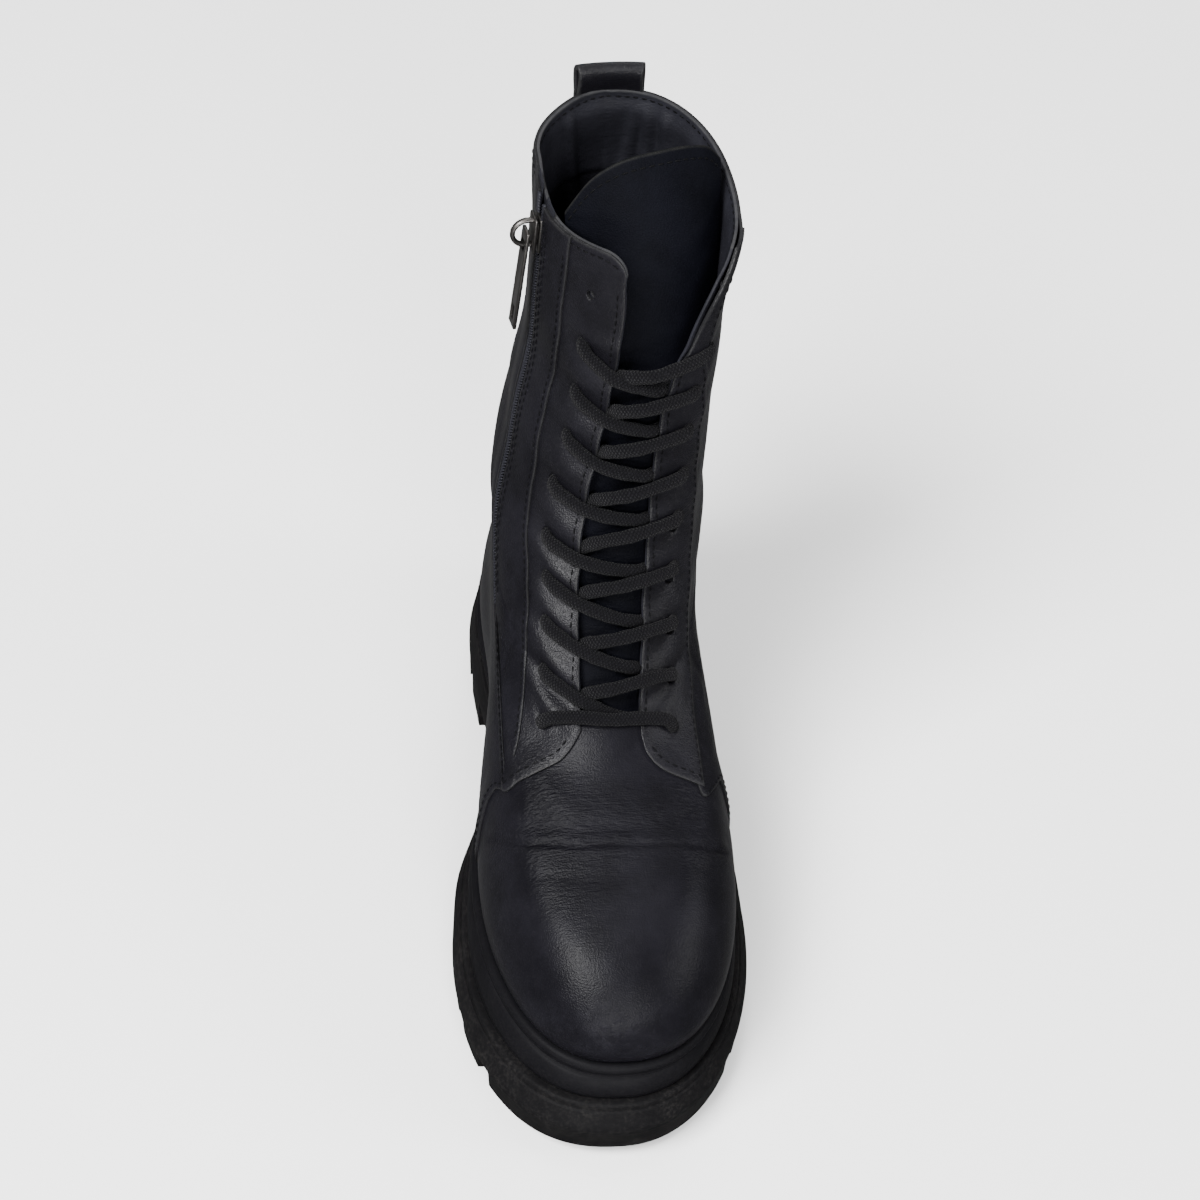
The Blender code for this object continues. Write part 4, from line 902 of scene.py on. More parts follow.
def grid_normals(points):
    """Unit normals of a grid of points."""
    return unit(np.cross(np.gradient(points, axis=1), np.gradient(points, axis=0)))


def below_edge(points, depth, pitch):
    """Places and normals every pitch mm along a grid, at a depth in mm under its last row."""
    line, out = [], []
    for column, normals in zip(points.transpose(1, 0, 2), grid_normals(points).transpose(1, 0, 2)):
        run = running_length(column[::-1])
        line.append(read_along(depth, run, column[::-1]))
        out.append(read_along(depth, run, normals[::-1]))
    run = running_length(line)
    at = np.arange(pitch, run[-1] - pitch / 2, pitch)
    return read_along(at, run, line), read_along(at, run, out)


def sew_below_edge(name, points, depth, lift):
    """Sew a line of stitches under a grid's last row, lift mm over the grid's face."""
    made = sizes()
    here, out = below_edge(points, depth, made["stitch_pitch"])
    out = out * math.copysign(1.0, lift)
    pattern = stitch_pattern(made["stitch_length"], made["thread_width"])
    thing = repeated(name, pattern, (here + out * abs(lift), axes_along(here, out)))
    complete(thing, ("sewing_thread",), angle=80)


def stitch_frames(lines, pitch, height):
    """Origins and axes of the stitches of several (v, turn) lines, height mm over the boot's face."""
    origins, axes = [], []
    for line in lines:
        v, turn = even_places(line, pitch)
        here = skin(v, turn, height)
        origins.append(here)
        axes.append(axes_along(here, skin_normal(v, turn)))
    return np.concatenate(origins), np.concatenate(axes)


def swept(name, points, sideways, profile, scale=1.0):
    """A closed tube along mm points: sideways is roughly its width's direction, profile (across, out) pairs."""
    points, sideways, profile = (np.asarray(a, float) for a in (points, sideways, profile))
    ahead = unit(np.gradient(points, axis=0))
    side = unit(sideways - ahead * (sideways * ahead).sum(axis=1, keepdims=True))
    out = np.cross(side, ahead)
    ring = np.concatenate([profile, profile[:1]])
    offset = side[:, None, :] * ring[None, :, :1] + out[:, None, :] * ring[None, :, 1:]
    table = points[:, None, :] + offset * np.broadcast_to(scale, len(points))[:, None, None]
    size = [np.linalg.norm(np.diff(line, axis=0), axis=1).sum() for line in (points, ring)]
    thing = bent_grid(name, table.transpose(1, 0, 2), size)
    merge(thing, 0.005, fill=True)
    return thing


def ellipse(width, height, count):
    """An oval profile of (across, out) pairs."""
    angle = np.arange(count) * 2 * math.pi / count
    return np.stack([np.cos(angle) * width / 2, np.sin(angle) * height / 2], axis=1)


# The patterns of the leather: each edge is a line of (v, mm) or (mm, v) ----
TAB_MEDIAL = ((-100, 0.255), (-79.1, 0.263), (-56.5, 0.310), (-40.6, 0.347), (-28.7, 0.377), (-20.5, 0.399),
              (-15.8, 0.416), (-12.4, 0.432), (-9, 0.45))
TAB_LATERAL = ((9, 0.45), (11.6, 0.432), (13.7, 0.415), (17.1, 0.400), (22.4, 0.383), (30.8, 0.361),
               (40.9, 0.337), (59.1, 0.297), (75, 0.270))
VAMP_TOP = ((-110, 0.25), (-84, 0.282), (-56.5, 0.332), (-40.6, 0.367), (-28.7, 0.396), (-20, 0.420),
            (-12, 0.444), (0, 0.449), (12, 0.444), (20, 0.412), (31, 0.380), (41, 0.356), (64, 0.305), (90, 0.27))
VAMP_MEDIAL = ((0.0, -131), (0.1, -126), (0.2, -114), (0.245, -97), (0.275, -86), (0.46, -86))
VAMP_LATERAL = ((0.0, 138), (0.1, 131), (0.2, 115), (0.24, 100), (0.268, 82), (0.30, 67), (0.46, 66))
QUARTER_MEDIAL = ((0.0, -124), (0.1, -119), (0.2, -107), (0.24, -92), (0.27, -77), (0.31, -79), (0.36, -84),
                  (0.405, -91))
QUARTER_LATERAL = ((0.0, 131), (0.1, 124), (0.2, 108), (0.24, 93), (0.268, 74), (0.287, 60), (0.31, 53),
                   (0.34, 52), (0.40, 49), (0.45, 43), (0.50, 37), (0.56, 33), (0.643, 29), (0.721, 25),
                   (0.80, 21.5), (0.91, 19), (0.96, 26), (1.0, 40))
EYESTAY_LATERAL_BACK = ((0.26, 60.5), (0.297, 59.4), (0.34, 58.5), (0.40, 55), (0.45, 49), (0.50, 43),
                        (0.56, 39), (0.643, 34.5), (0.721, 31), (0.80, 27.5), (0.91, 25), (0.96, 32), (1.0, 46))
EYESTAY_MEDIAL_BACK = ((0.26, -79.1), (0.29, -80.6), (0.314, -83), (0.36, -86), (0.41, -86.5))
GUARD_FRONT = ((0.322, -62.0), (0.335, -58.8), (0.403, -47.9), (0.471, -42.6), (0.538, -41.3), (0.61, -45.2),
               (0.65, -44.4), (0.747, -43.6), (0.862, -38.8), (0.93, -38.6), (1.0, -38.8))
GUARD_BACK = ((0.322, -62.6), (0.330, -71.0), (0.371, -78.0), (0.41, -82.0))
ZIP_GAP = 3.6            # from the zip's line to the leather on either side
GUARD_OVERLAP, GUARD_LIFT = 0.4, 1.0        # how far the zip's guard reaches past the leather and over it, mm
BACK_SEAM = 0.0012       # turn from the back seam's middle to each quarter
LIFT_START, LIFT_RUN = 2.0, 13.0            # mm from a lifted edge where it starts to come down, and for how long
EDGE_ROLL, EDGE_ROLL_REACH = 0.22, 0.8      # how far a cut edge bends down, and from how far, mm
SCUFFS = ((0.9, 0.125, -3, 15.0), (0.35, 0.10, -34, 16.0))      # strength, v, mm, reach in mm
SCUFF_MM_PER_V = 300.0


def collar_v(mm):
    """v of the collar's rim; its medial front corner stands a little higher than the rest."""
    corner = np.clip((mm + 25.0) / 10.0, 0, 1)
    rounded = 0.030 * (1 - np.sqrt(1 - 0.97 * corner ** 2))
    return np.where(mm < 0, 1 + 0.036 * eased((mm + 61) / 46) - rounded, 1.0)


def read_edge(edge, at):
    """Read an edge given as a function or as a line of pairs."""
    return edge(at) if callable(edge) else smooth_line(edge, at)


def edge_turn(edge):
    """A function that gives the turn at v of an edge given by v."""
    return lambda v: turn_at(v, read_edge(edge, v))


def along_zip(offset, end, line):
    """An edge beside the zip's line, offset in mm; below v = end it follows a line of its own."""
    return lambda v: turn_at(v, np.where(v > end, zip_mm(v) + offset, smooth_line(line, v)))


def meet(edge, left, right, share):
    """v at which each column of a panel meets an edge given as (mm, v) pairs."""
    v = np.full(share.shape, 0.35)
    for _ in range(90):
        v = 0.6 * v + 0.4 * read_edge(edge, mm_at(v, left(v) + (right(v) - left(v)) * share))
    return v


def panel_places(left, right, low, high, columns, rows):
    """v and turn of a panel's points, rows from low to high and columns from left to right."""
    share = np.linspace(0, 1, columns + 1)
    up = np.linspace(0, 1, rows + 1)[:, None]
    first, last = (np.full(share.shape, end) if np.isscalar(end) else meet(end, left, right, share)
                   for end in (low, high))
    v = first * (1 - up) + last * up
    return v, left(v) + (right(v) - left(v)) * share


def rim_distances(points):
    """Distance in mm of each grid point from the left, right, low and high edges."""
    across = np.linalg.norm(np.diff(points, axis=1), axis=2)
    along = np.linalg.norm(np.diff(points, axis=0), axis=2)
    left = np.concatenate([np.zeros((len(points), 1)), np.cumsum(across, axis=1)], axis=1)
    low = np.concatenate([np.zeros((1, points.shape[1])), np.cumsum(along, axis=0)], axis=0)
    return {"left": left, "right": left[:, -1:] - left, "low": low, "high": low[-1:] - low}


def sheet_size(distances):
    """Mean width and height in mm of a grid, from its rim distances."""
    return distances["left"][:, -1].mean(), distances["low"][-1].mean()


def leather_panel(name, places, base=0.0, lifted=(), lift=1.2):
    """A cut piece of leather on the boot; the lifted sides ride up over the piece beneath them."""
    v, turn = places
    distances = rim_distances(skin(v, turn, 0.0, folded=False))
    edge = np.minimum.reduce(list(distances.values()))
    raised = np.zeros(v.shape)
    for side in lifted:
        raised = np.maximum(raised, 1 - eased((distances[side] - LIFT_START) / LIFT_RUN))
    mm = mm_at(v, turn)
    scuff = np.zeros(v.shape)
    for strength, at_v, at_mm, reach in SCUFFS:
        scuff = scuff + strength * bell(np.hypot((v - at_v) * SCUFF_MM_PER_V, mm - at_mm), reach)
    points = skin(v, turn, base + lift * raised - EDGE_ROLL * bell(edge, EDGE_ROLL_REACH))
    thing = bent_grid(name, points, sheet_size(distances), edge=edge, wrinkling=relief(v, mm)[1], scuff=scuff)
    give_wall(thing, sizes()["leather_wall"])
    return thing


def finished_leather(thing, stands_for=(), leather="boot_leather"):
    """Complete a leather piece."""
    complete(thing, (leather, "cut_edge"), stands_for=stands_for)


def sizes():
    """The user's sizes, in mm."""
    group = bpy.context.scene.boot_sizes
    return {name: getattr(group, name) / MILLIMETRE for name in group.__annotations__}


class BootColours(bpy.types.PropertyGroup):
    """Colours of the boot and its floor."""

    leather: bpy.props.FloatVectorProperty(
        name="Leather", description="Colour of the smooth leather", subtype="COLOR", min=0, max=1,
        default=(0.0038, 0.0036, 0.0048))
    # Darker than the boot's leather: painted shade, for the tongue lies deep in the throat between the laces.
    tongue: bpy.props.FloatVectorProperty(
        name="Tongue", description="Colour of the tongue's softer leather", subtype="COLOR", min=0, max=1,
        default=(0.0015, 0.0016, 0.0026))
    lining: bpy.props.FloatVectorProperty(
        name="Lining", description="Colour of the lining", subtype="COLOR", min=0, max=1,
        default=(0.0085, 0.0085, 0.0110))
    lace: bpy.props.FloatVectorProperty(
        name="Lace", description="Colour of the braided lace", subtype="COLOR", min=0, max=1,
        default=(0.0031, 0.0029, 0.0037))
    midsole: bpy.props.FloatVectorProperty(
        name="Midsole", description="Colour of the soft midsole and welt", subtype="COLOR", min=0, max=1,
        default=(0.0031, 0.0030, 0.0036))
    outsole: bpy.props.FloatVectorProperty(
        name="Outsole", description="Colour of the moulded outsole", subtype="COLOR", min=0, max=1,
        default=(0.0032, 0.0031, 0.0034))
    thread: bpy.props.FloatVectorProperty(
        name="Thread", description="Colour of the sewing thread", subtype="COLOR", min=0, max=1,
        default=(0.0015, 0.0015, 0.0018))
    metal: bpy.props.FloatVectorProperty(
        name="Metal", description="Colour of the zip's slider and pull", subtype="COLOR", min=0, max=1,
        default=(0.090, 0.085, 0.082))
    floor: bpy.props.FloatVectorProperty(
        name="Floor", description="Colour of the studio floor", subtype="COLOR", min=0, max=1,
        default=(0.82, 0.82, 0.82))


class BootSizes(bpy.types.PropertyGroup):
    """Sizes of the sewn parts."""

    leather_wall: bpy.props.FloatProperty(
        name="Leather", description="Thickness of the outer leather", default=0.0012, unit="LENGTH")
    lining_wall: bpy.props.FloatProperty(
        name="Lining", description="Thickness of the lining", default=0.00115, unit="LENGTH")
    tongue_wall: bpy.props.FloatProperty(
        name="Tongue", description="Thickness of the tongue", default=0.0024, unit="LENGTH")
    lace_width: bpy.props.FloatProperty(
        name="Lace width", description="Width of the lace across its flat", default=0.0053, unit="LENGTH")
    lace_height: bpy.props.FloatProperty(
        name="Lace height", description="Thickness of the lace", default=0.0044, unit="LENGTH")
    hole: bpy.props.FloatProperty(
        name="Lace hole", description="Diameter of the punched lace holes", default=0.0034, unit="LENGTH")
    stitch_pitch: bpy.props.FloatProperty(
        name="Stitch pitch", description="From one stitch to the next", default=0.0033, unit="LENGTH")
    stitch_length: bpy.props.FloatProperty(
        name="Stitch length", description="Visible length of one stitch", default=0.0026, unit="LENGTH")
    thread_width: bpy.props.FloatProperty(
        name="Thread", description="Thickness of the sewing thread", default=0.00065, unit="LENGTH")
    tooth_pitch: bpy.props.FloatProperty(
        name="Tooth pitch", description="From one zip tooth to the next", default=0.0012, unit="LENGTH")


class BootPiece:
    """What every operator of the boot shares."""

    bl_options = {"REGISTER", "UNDO"}


class BOOT_OT_finishes(BootPiece, bpy.types.Operator):
    """Make the boot's finishes: leather, cut edges, lining, braid, rubber, nylon and metal"""

    bl_idname = "boot.finishes"
    bl_label = "Finishes"

    def execute(self, context):
        colour = context.scene.boot_colours
        leather_finish("boot_leather", colour.leather, 0.32, 0.048, 0.60, 0.50)
        leather_finish("laced_leather", colour.leather, 0.36, 0.110, 0.90, 0.50)
        # The tongue's darker colour is painted shade for where it lies between the laces; its lower gloss is its own.
        leather_finish("tongue_leather_painted_shade", colour.tongue, 0.55, 0.02, 0.75, 1.0)
        leather_finish("lining_leather", colour.lining, 0.50, 0.05, 0.6, 0.5)
        raw_edge_finish("cut_edge", colour.leather)
        fabric_finish("lining_cloth", colour.lining, 0.7)
        fabric_finish("zip_tape", colour.lining, 0.5)
        thread_finish("sewing_thread", colour.thread)
        braid_finish("lace_braid", colour.lace)
        rubber_finish("midsole_compound", colour.midsole, 0.50, 0.10)
        rubber_finish("tread_compound", colour.outsole, 0.58, 0.5)
        plastic_finish("zip_nylon", colour.lining, 0.42)
        metal_finish("slider_metal", colour.metal, 0.30)
        floor_finish("studio_floor", colour.floor)
        return {"FINISHED"}


# The sole ----
TREAD_ROW = 4.0          # longest step between two cross rows of the outsole, mm
OUTSOLE_WALL = (         # spread, then height as a share of the way from web to rand and mm over it
    (0.47, 1.0, 0.0), (0.60, 1.0, 0.0), (0.655, 1.0, 0.05), (0.690, 1.0, -0.15), (0.715, 1.0, -0.6),
    (0.728, 1.0, -1.3), (0.732, 1.0, -2.1), (0.748, 1.0, -2.9), (0.80, 0.76, 0.0), (0.865, 0.60, 0.0),
    (0.935, 0.45, 0.0), (0.985, 0.34, 0.0), (1.0, 0.26, 0.0), (1.0, 0.16, 0.0), (0.99, 0.06, 0.0),
    (0.97, 0.0, 0.0),
)
MIDSOLE_WALL = (         # spread and share of the way from the outsole's top to the feather line
    (0.47, 0.0), (0.525, 0.04), (0.556, 0.15), (0.566, 0.30), (0.556, 0.48), (0.525, 0.66), (0.475, 0.81),
    (0.42, 0.92), (0.36, 1.0),
)


TREAD_SPREAD = 0.92      # spread of the lugs' outer edge on the ground
TOE_ROWS, HEEL_ROWS = 22, 20     # cross rows of the rounded ends
LUG_SPLIT = (0.36, 0.48)     # share of the half width where the groove between inner and outer lugs lies
TOP_SHARES = (1.0, 0.5, 0.0, -0.5, -1.0)
UNDER_SHARES = (1.0, 0.83, 0.66, 0.50, 0.42, 0.34, 0.17, 0.0, -0.17, -0.34, -0.42, -0.50, -0.66, -0.83, -1.0)
SOLE_ROUNDING = 0.75     # mm
WELT_COLUMNS = 301
WELT_PROFILE = (         # mm out, mm up, and 1 where the welt's width counts
    (WELT_CLEARANCE, -0.3, 0), (0.5, -0.5, 1), (0.15, 0.0, 1), (0.5, 0.9, 1), (0.55, 1.8, 1), (0.2, 2.8, 1),
    (-0.5, 3.5, 1), (-1.5, 3.95, 1), (-2.6, 3.9, 1), (WELT_CLEARANCE - 0.1, 3.3, 0),
)


def tread_rows():
    """Stations of the outsole's cross rows, with what lies after each: whole tread, lugs or a gap."""
    fore, heel = ([gap + side for gap in gaps for side in (-LUG_GAP / 2, LUG_GAP / 2)]
                  for gaps in (FOREFOOT_GAPS, HEEL_GAPS))
    edges = [*fore, FOREFOOT_END, HEEL_BREAST, *heel]
    rows = [(TOE_TIP + (edges[0] - TOE_TIP) * (k / TOE_ROWS) ** 2, "whole") for k in range(TOE_ROWS)]
    for index, (start, stop) in enumerate(zip(edges, edges[1:])):
        count = math.ceil((stop - start) / TREAD_ROW)
        rows += [(start + (stop - start) * k / count, "lugs" if index % 2 else "web") for k in range(count)]
    tip = TOE_TIP + SOLE_LENGTH
    rows += [(tip - (tip - edges[-1]) * (1 - k / HEEL_ROWS) ** 2, "whole") for k in range(HEEL_ROWS + 1)]
    return [((y - TOE_TIP) / SOLE_LENGTH, kind) for y, kind in rows]


def cross_grid(name, stations, shares, spread, height):
    """A grid across the sole between its two sides."""
    table = []
    for s in stations:
        row = []
        for share in shares:
            x, y, z = sole_point(s, "lateral" if share > 0 else "medial", spread, height(s))
            row.append((x * abs(share), y, z))
        table.append(row)
    return bent_grid(name, table)


def sole_shell(stations):
    """The outsole without its lugs: wall, top and underside as three bent grids."""
    def height(s, share, over):
        """Height of one line of the wall."""
        return web_level(s) + share * (rand_level(s) - web_level(s)) + over
    wall = bent_grid("outsole_wall", wall_loops(stations, OUTSOLE_WALL, height)[::-1])
    top = cross_grid("outsole_top", stations, TOP_SHARES, OUTSOLE_WALL[0][0], rand_level)
    under = cross_grid("outsole_under", stations, UNDER_SHARES, OUTSOLE_WALL[-1][0], web_level)
    sole = joined("moulded_outsole", [wall, top, under])
    merge(sole)
    return sole


def build_outsole():
    """The shell, with the lugs extruded down to the tread."""
    rows = tread_rows()
    sole = sole_shell([row[0] for row in rows])
    spans = [(s0, s1, kind) for (s0, kind), (s1, _) in zip(rows, rows[1:])]
    web_spread = OUTSOLE_WALL[-1][0]
    slope = LAST_LENGTH + (SOLE_LENGTH - LAST_LENGTH) * web_spread
    start = FEATHER_TOE + (TOE_TIP - FEATHER_TOE) * web_spread
    hold(sole)
    bpy.ops.object.mode_set(mode="EDIT")
    form = bmesh.from_edit_mesh(sole.data)
    for face in form.faces:
        x, y, z = (c / MILLIMETRE for c in face.calc_center_median())
        s = (y - start) / slope
        kind = next((k for s0, s1, k in spans if s0 <= s <= s1), "whole")
        side = "lateral" if x > 0 else "medial"
        half = abs(sole_point(min(max(s, 0.0), 1.0), side, web_spread, 0.0)[0])
        share = abs(x) / max(half, 0.01)
        lug = kind == "whole" or (kind == "lugs" and not LUG_SPLIT[0] < share < LUG_SPLIT[1])
        face.select = bool(lug and abs(z - web_level(s)) < 0.6 and face.normal.z < -0.9 and share < 1.0)
    form.select_flush_mode()
    bmesh.update_edit_mesh(sole.data)
    bpy.ops.mesh.extrude_region()
    form = bmesh.from_edit_mesh(sole.data)
    for vert in form.verts:
        if not vert.select:
            continue
        x, y, z = (c / MILLIMETRE for c in vert.co)
        s = min(max((y - start) / slope, 0.0), 1.0)
        side = "lateral" if x > 0 else "medial"
        outer, inner = (sole_point(s, side, spread, 0.0) for spread in (web_spread, TREAD_SPREAD))
        scale = inner[0] / outer[0] if abs(outer[0]) > 1 else 1.0
        vert.co = Vector((x * scale, inner[1], tread_height(inner[1]))) * MILLIMETRE
    bmesh.update_edit_mesh(sole.data)
    merge(sole)
    bevel(sole, SOLE_ROUNDING * MILLIMETRE, 2, 42)
    complete(sole, ("tread_compound",), stands_for=("outsole",), angle=32)


def build_midsole():
    """The soft midsole: a rolled wall closed above and below."""
    def height(s, share):
        """Height of one line of the wall."""
        return rand_level(s) + GAP + (seat(s) - 3 * GAP - rand_level(s)) * share
    thing = bent_grid("soft_midsole", wall_loops(even_stations(90), MIDSOLE_WALL, height))
    merge(thing, fill=True)
    complete(thing, ("midsole_compound",), stands_for=("midsole",), angle=60)


def build_welt():
    """The rolled welt round the foot of the upper."""
    v, turn = np.zeros(WELT_COLUMNS), np.linspace(0, 2, WELT_COLUMNS)
    foot = skin(v, turn, 0.0, folded=False)
    out = skin_normal(v, turn)
    out[:, 2] = 0
    out = unit(out)
    width = np.interp((foot[:, 1] - FEATHER_TOE) / LAST_LENGTH, *WELT_WIDTH)
    table = []
    for away, up, outer in (*WELT_PROFILE, WELT_PROFILE[0]):
        point = foot + out * (away + width * outer)[:, None]
        point[:, 2] += WELT_BASE + up
        table.append(point)
    thing = bent_grid("rolled_welt", table)
    merge(thing)
    complete(thing, ("midsole_compound",), stands_for=("welt",), angle=60)


class BOOT_OT_sole(BootPiece, bpy.types.Operator):
    """Build the outsole with its lugs, the midsole and the welt, and finish the insole board"""

    bl_idname = "boot.sole"
    bl_label = "Sole"

    def execute(self, context):
        build_outsole()
        build_midsole()
        build_welt()
        insole = frame["nodes"]["insole"]
        insole.data.materials.clear()
        insole.data.materials.append(bpy.data.materials["lining_leather"])
        return {"FINISHED"}


# The upper ----
THROAT_FOOT = 0.36       # v below which the throat's slit is closed


def throat_turn(side):
    """A function that gives the turn of the throat's edge at v; below the throat the slit closes."""
    sign, least = (1, 0.0) if side == "lateral" else (-1, 1e-6)
    return lambda v: turn_at(v, sign * np.maximum(
        facing(v, side) * eased((v - THROAT_FOOT) / (THROAT_V - THROAT_FOOT)), least))


CLOTH_TOP, BAND_FOOT, BAND_SINK = 0.872, 0.868, 0.7      # v of both pieces' edges; how far the band lies in, mm
LINING_GAP, BAND_SEAM_INSET = 0.05, 3.2     # from leather to lining; from the rim to its stitching, mm
LINING_CREASES = (       # turn at v = 0.9, lean, depth in mm
    (0.80, 0.35, 1.7), (0.87, 0.15, 1.9), (0.93, -0.25, 1.2), (1.12, 0.3, 1.3),
)


def build_lining(name, low, high, columns, rows, finish):
    """One piece of the lining, softly creased at the back; the collar's band is sewn along its rim."""
    wall, band = sizes()["lining_wall"], name == "collar_lining"
    v, turn = panel_places(throat_turn("lateral"), throat_turn("medial"), low, high, columns, rows)
    soft = 0.8 * (np.sin(turn * 19 + v * 4) - 1) * eased((v - 0.5) / 0.3) * bell(turn - 1.0, 0.45)
    for at, lean, deep in LINING_CREASES:
        soft -= deep * bell(turn - at - lean * (v - 0.9), 0.018) * eased((v - 0.55) / 0.25)
    sunk = (BAND_SINK if band else 0.0) * eased((v - BAND_FOOT) / 0.008) * (1 - eased((v - 0.97) / 0.02))
    height = -sizes()["leather_wall"] - LINING_GAP - sunk
    points = skin(v, turn, height + soft * (1 - eased((v - 0.965) / 0.03)))
    distances = rim_distances(points)
    thing = bent_grid(name, points, sheet_size(distances), edge=np.minimum(distances["high"], distances["low"]),
                      wrinkling=0.35 * bell(turn - 1.0, 0.5), scuff=0.0)
    edit(thing, lambda: bpy.ops.mesh.remove_doubles(threshold=0.01 * MILLIMETRE))
    give_wall(thing, wall, 0.25)
    complete(thing, finish, stands_for=() if band else ("upper",))
    if band:
        sew_below_edge("collar_stitching", points, BAND_SEAM_INSET, -wall - LINING_GAP)


class BOOT_OT_lining(BootPiece, bpy.types.Operator):
    """Build the cloth lining and the leather band inside the collar"""

    bl_idname = "boot.lining"
    bl_label = "Lining"

    def execute(self, context):
        build_lining("cloth_lining", 0.0, CLOTH_TOP, 220, 170, ("lining_cloth", "lining_cloth"))
        build_lining("collar_lining", BAND_FOOT, collar_v, 240, 34, ("lining_leather", "cut_edge"))
        return {"FINISHED"}


class BOOT_OT_vamp(BootPiece, bpy.types.Operator):
    """Build the vamp, which covers the toe and runs up under the quarters"""

    bl_idname = "boot.vamp"
    bl_label = "Vamp"

    def execute(self, context):
        medial = edge_turn(VAMP_MEDIAL)
        places = panel_places(lambda v: medial(v) - 2, edge_turn(VAMP_LATERAL), 0.0, VAMP_TOP, 225, 185)
        finished_leather(leather_panel("vamp", places, base=-0.15))
        return {"FINISHED"}


class BOOT_OT_quarters(BootPiece, bpy.types.Operator):
    """Build the lateral and medial quarters, which meet at the back seam"""

    bl_idname = "boot.quarters"
    bl_label = "Quarters"

    def execute(self, context):
        lateral = panel_places(edge_turn(QUARTER_LATERAL), lambda v: np.full(v.shape, 1 - BACK_SEAM),
                               0.0, 1.0, 96, 230)
        finished_leather(leather_panel("lateral_quarter", lateral, lifted=("left",), lift=0.95))
        medial = panel_places(lambda v: np.full(v.shape, 1 + BACK_SEAM),
                              along_zip(-ZIP_GAP, 0.405, QUARTER_MEDIAL), 0.0, 1.0, 66, 230)
        finished_leather(leather_panel("medial_quarter", medial, lifted=("right",), lift=0.95))
        return {"FINISHED"}


LACED_HOLE_STRETCH, PUNCH_DEPTH = 1.25, 16.0     # how much wider a laced hole is pulled; mm


def hole_cutter(side):
    """Round punches for all lace holes of one side, joined."""
    punches = []
    for pair in range(PAIRS):
        v, mm = eyelet(pair, side)
        turn = turn_at(v, mm)
        radius = sizes()["hole"] / 2 * (1.0 if pair >= LACED_PAIRS else LACED_HOLE_STRETCH)
        clear_selection()
        bpy.ops.mesh.primitive_cylinder_add(
            vertices=20, radius=radius * MILLIMETRE, depth=PUNCH_DEPTH * MILLIMETRE,
            location=Vector(skin(v, turn, 0.0)) * MILLIMETRE,
            rotation=Vector(skin_normal(v, turn)).to_track_quat("Z", "Y").to_euler())
        punches.append(bpy.context.object)
        bpy.ops.object.transform_apply(location=True, rotation=True, scale=True)
    return joined("punch_" + side, punches)


def cut_away(thing, cutter):
    """Take one object's shape out of another and remove it."""
    modify(thing, "BOOLEAN", operation="DIFFERENCE", solver="EXACT", object=cutter)
    bpy.data.objects.remove(cutter)


class BOOT_OT_eyestays(BootPiece, bpy.types.Operator):
    """Build the two laced fronts with their tabs and punch the lace holes"""

    bl_idname = "boot.eyestays"
    bl_label = "Laced fronts"

    def execute(self, context):
        for side, left, right, tab, top, columns, rows, lifted in (
                ("lateral", lambda v: turn_at(v, facing(v, "lateral")), edge_turn(EYESTAY_LATERAL_BACK),
                 TAB_LATERAL, 1.0, 44, 230, ("right", "low")),
                ("medial", along_zip(ZIP_GAP, 0.41, EYESTAY_MEDIAL_BACK), lambda v: turn_at(v, -facing(v, "medial")),
                 TAB_MEDIAL, collar_v, 74, 236, ("low",))):
            thing = leather_panel(side + "_front", panel_places(left, right, tab, top, columns, rows),
                                  lifted=lifted, lift=1.35)
            cut_away(thing, hole_cutter(side))
            finished_leather(thing, leather="laced_leather")
        for side in ("lateral", "medial"):
            for lining in ("cloth_lining", "collar_lining"):
                cut_away(bpy.data.objects[lining], hole_cutter(side))
        return {"FINISHED"}


class BOOT_OT_zip_guard(BootPiece, bpy.types.Operator):
    """Build the guard strip in front of the zip, which ends below in a point"""

    bl_idname = "boot.zip_guard"
    bl_label = "Zip guard"

    def execute(self, context):
        back = along_zip(ZIP_GAP - GUARD_OVERLAP, 0.41, GUARD_BACK)
        places = panel_places(back, edge_turn(GUARD_FRONT), GUARD_FRONT[0][0], collar_v, 30, 236)
        finished_leather(leather_panel("zip_guard", places, base=GUARD_LIFT))
        return {"FINISHED"}


# The tongue and the pull loop ----
TONGUE_TOP = (           # share across the tongue, mm its top stands up there
    (-1.0, 2.0), (-0.9, 5.0), (-0.72, 10.0), (-0.4, 14.5), (0.0, 16.0), (0.5, 15.0), (0.8, 12.0), (1.0, 7.0),
)
TONGUE_HEIGHT, TONGUE_BACK = 16.0, 7.0      # its tallest place, and how far that goes back, mm
TONGUE_DEPTH, TONGUE_ROUNDING, TONGUE_SEAM_INSET = UPPER_WALL + 1.9, 0.7, 4.6


def tongue_rows(rows_v, share, depth):
    """mm points of the tongue at a depth under the outer face, rows by shares from -1 to 1."""
    table = []
    for v in rows_v:
        lateral, medial, lean, rise = smooth_table(TONGUE_TABLE, v)
        ends = turn_at(v, lateral), 2 - turn_at(v, -medial)
        turn = np.where(share < 0, share * ends[1], share * ends[0])
        bent = skin(np.full(share.shape, v), turn, -depth, folded=False)
        flat = bent[0] + (bent[-1] - bent[0]) * (share[:, None] + 1) / 2
        row = bent + (flat - bent) * lean
        row[:, 2] += rise * np.cos(share * math.pi / 2)
        reach = float(eased((v - 0.82) / 0.20))
        top = smooth_line(TONGUE_TOP, share)
        row[:, 2] += top * reach
        row[:, 1] += TONGUE_BACK * top / TONGUE_HEIGHT * reach
        table.append(row)
    return np.array(table)


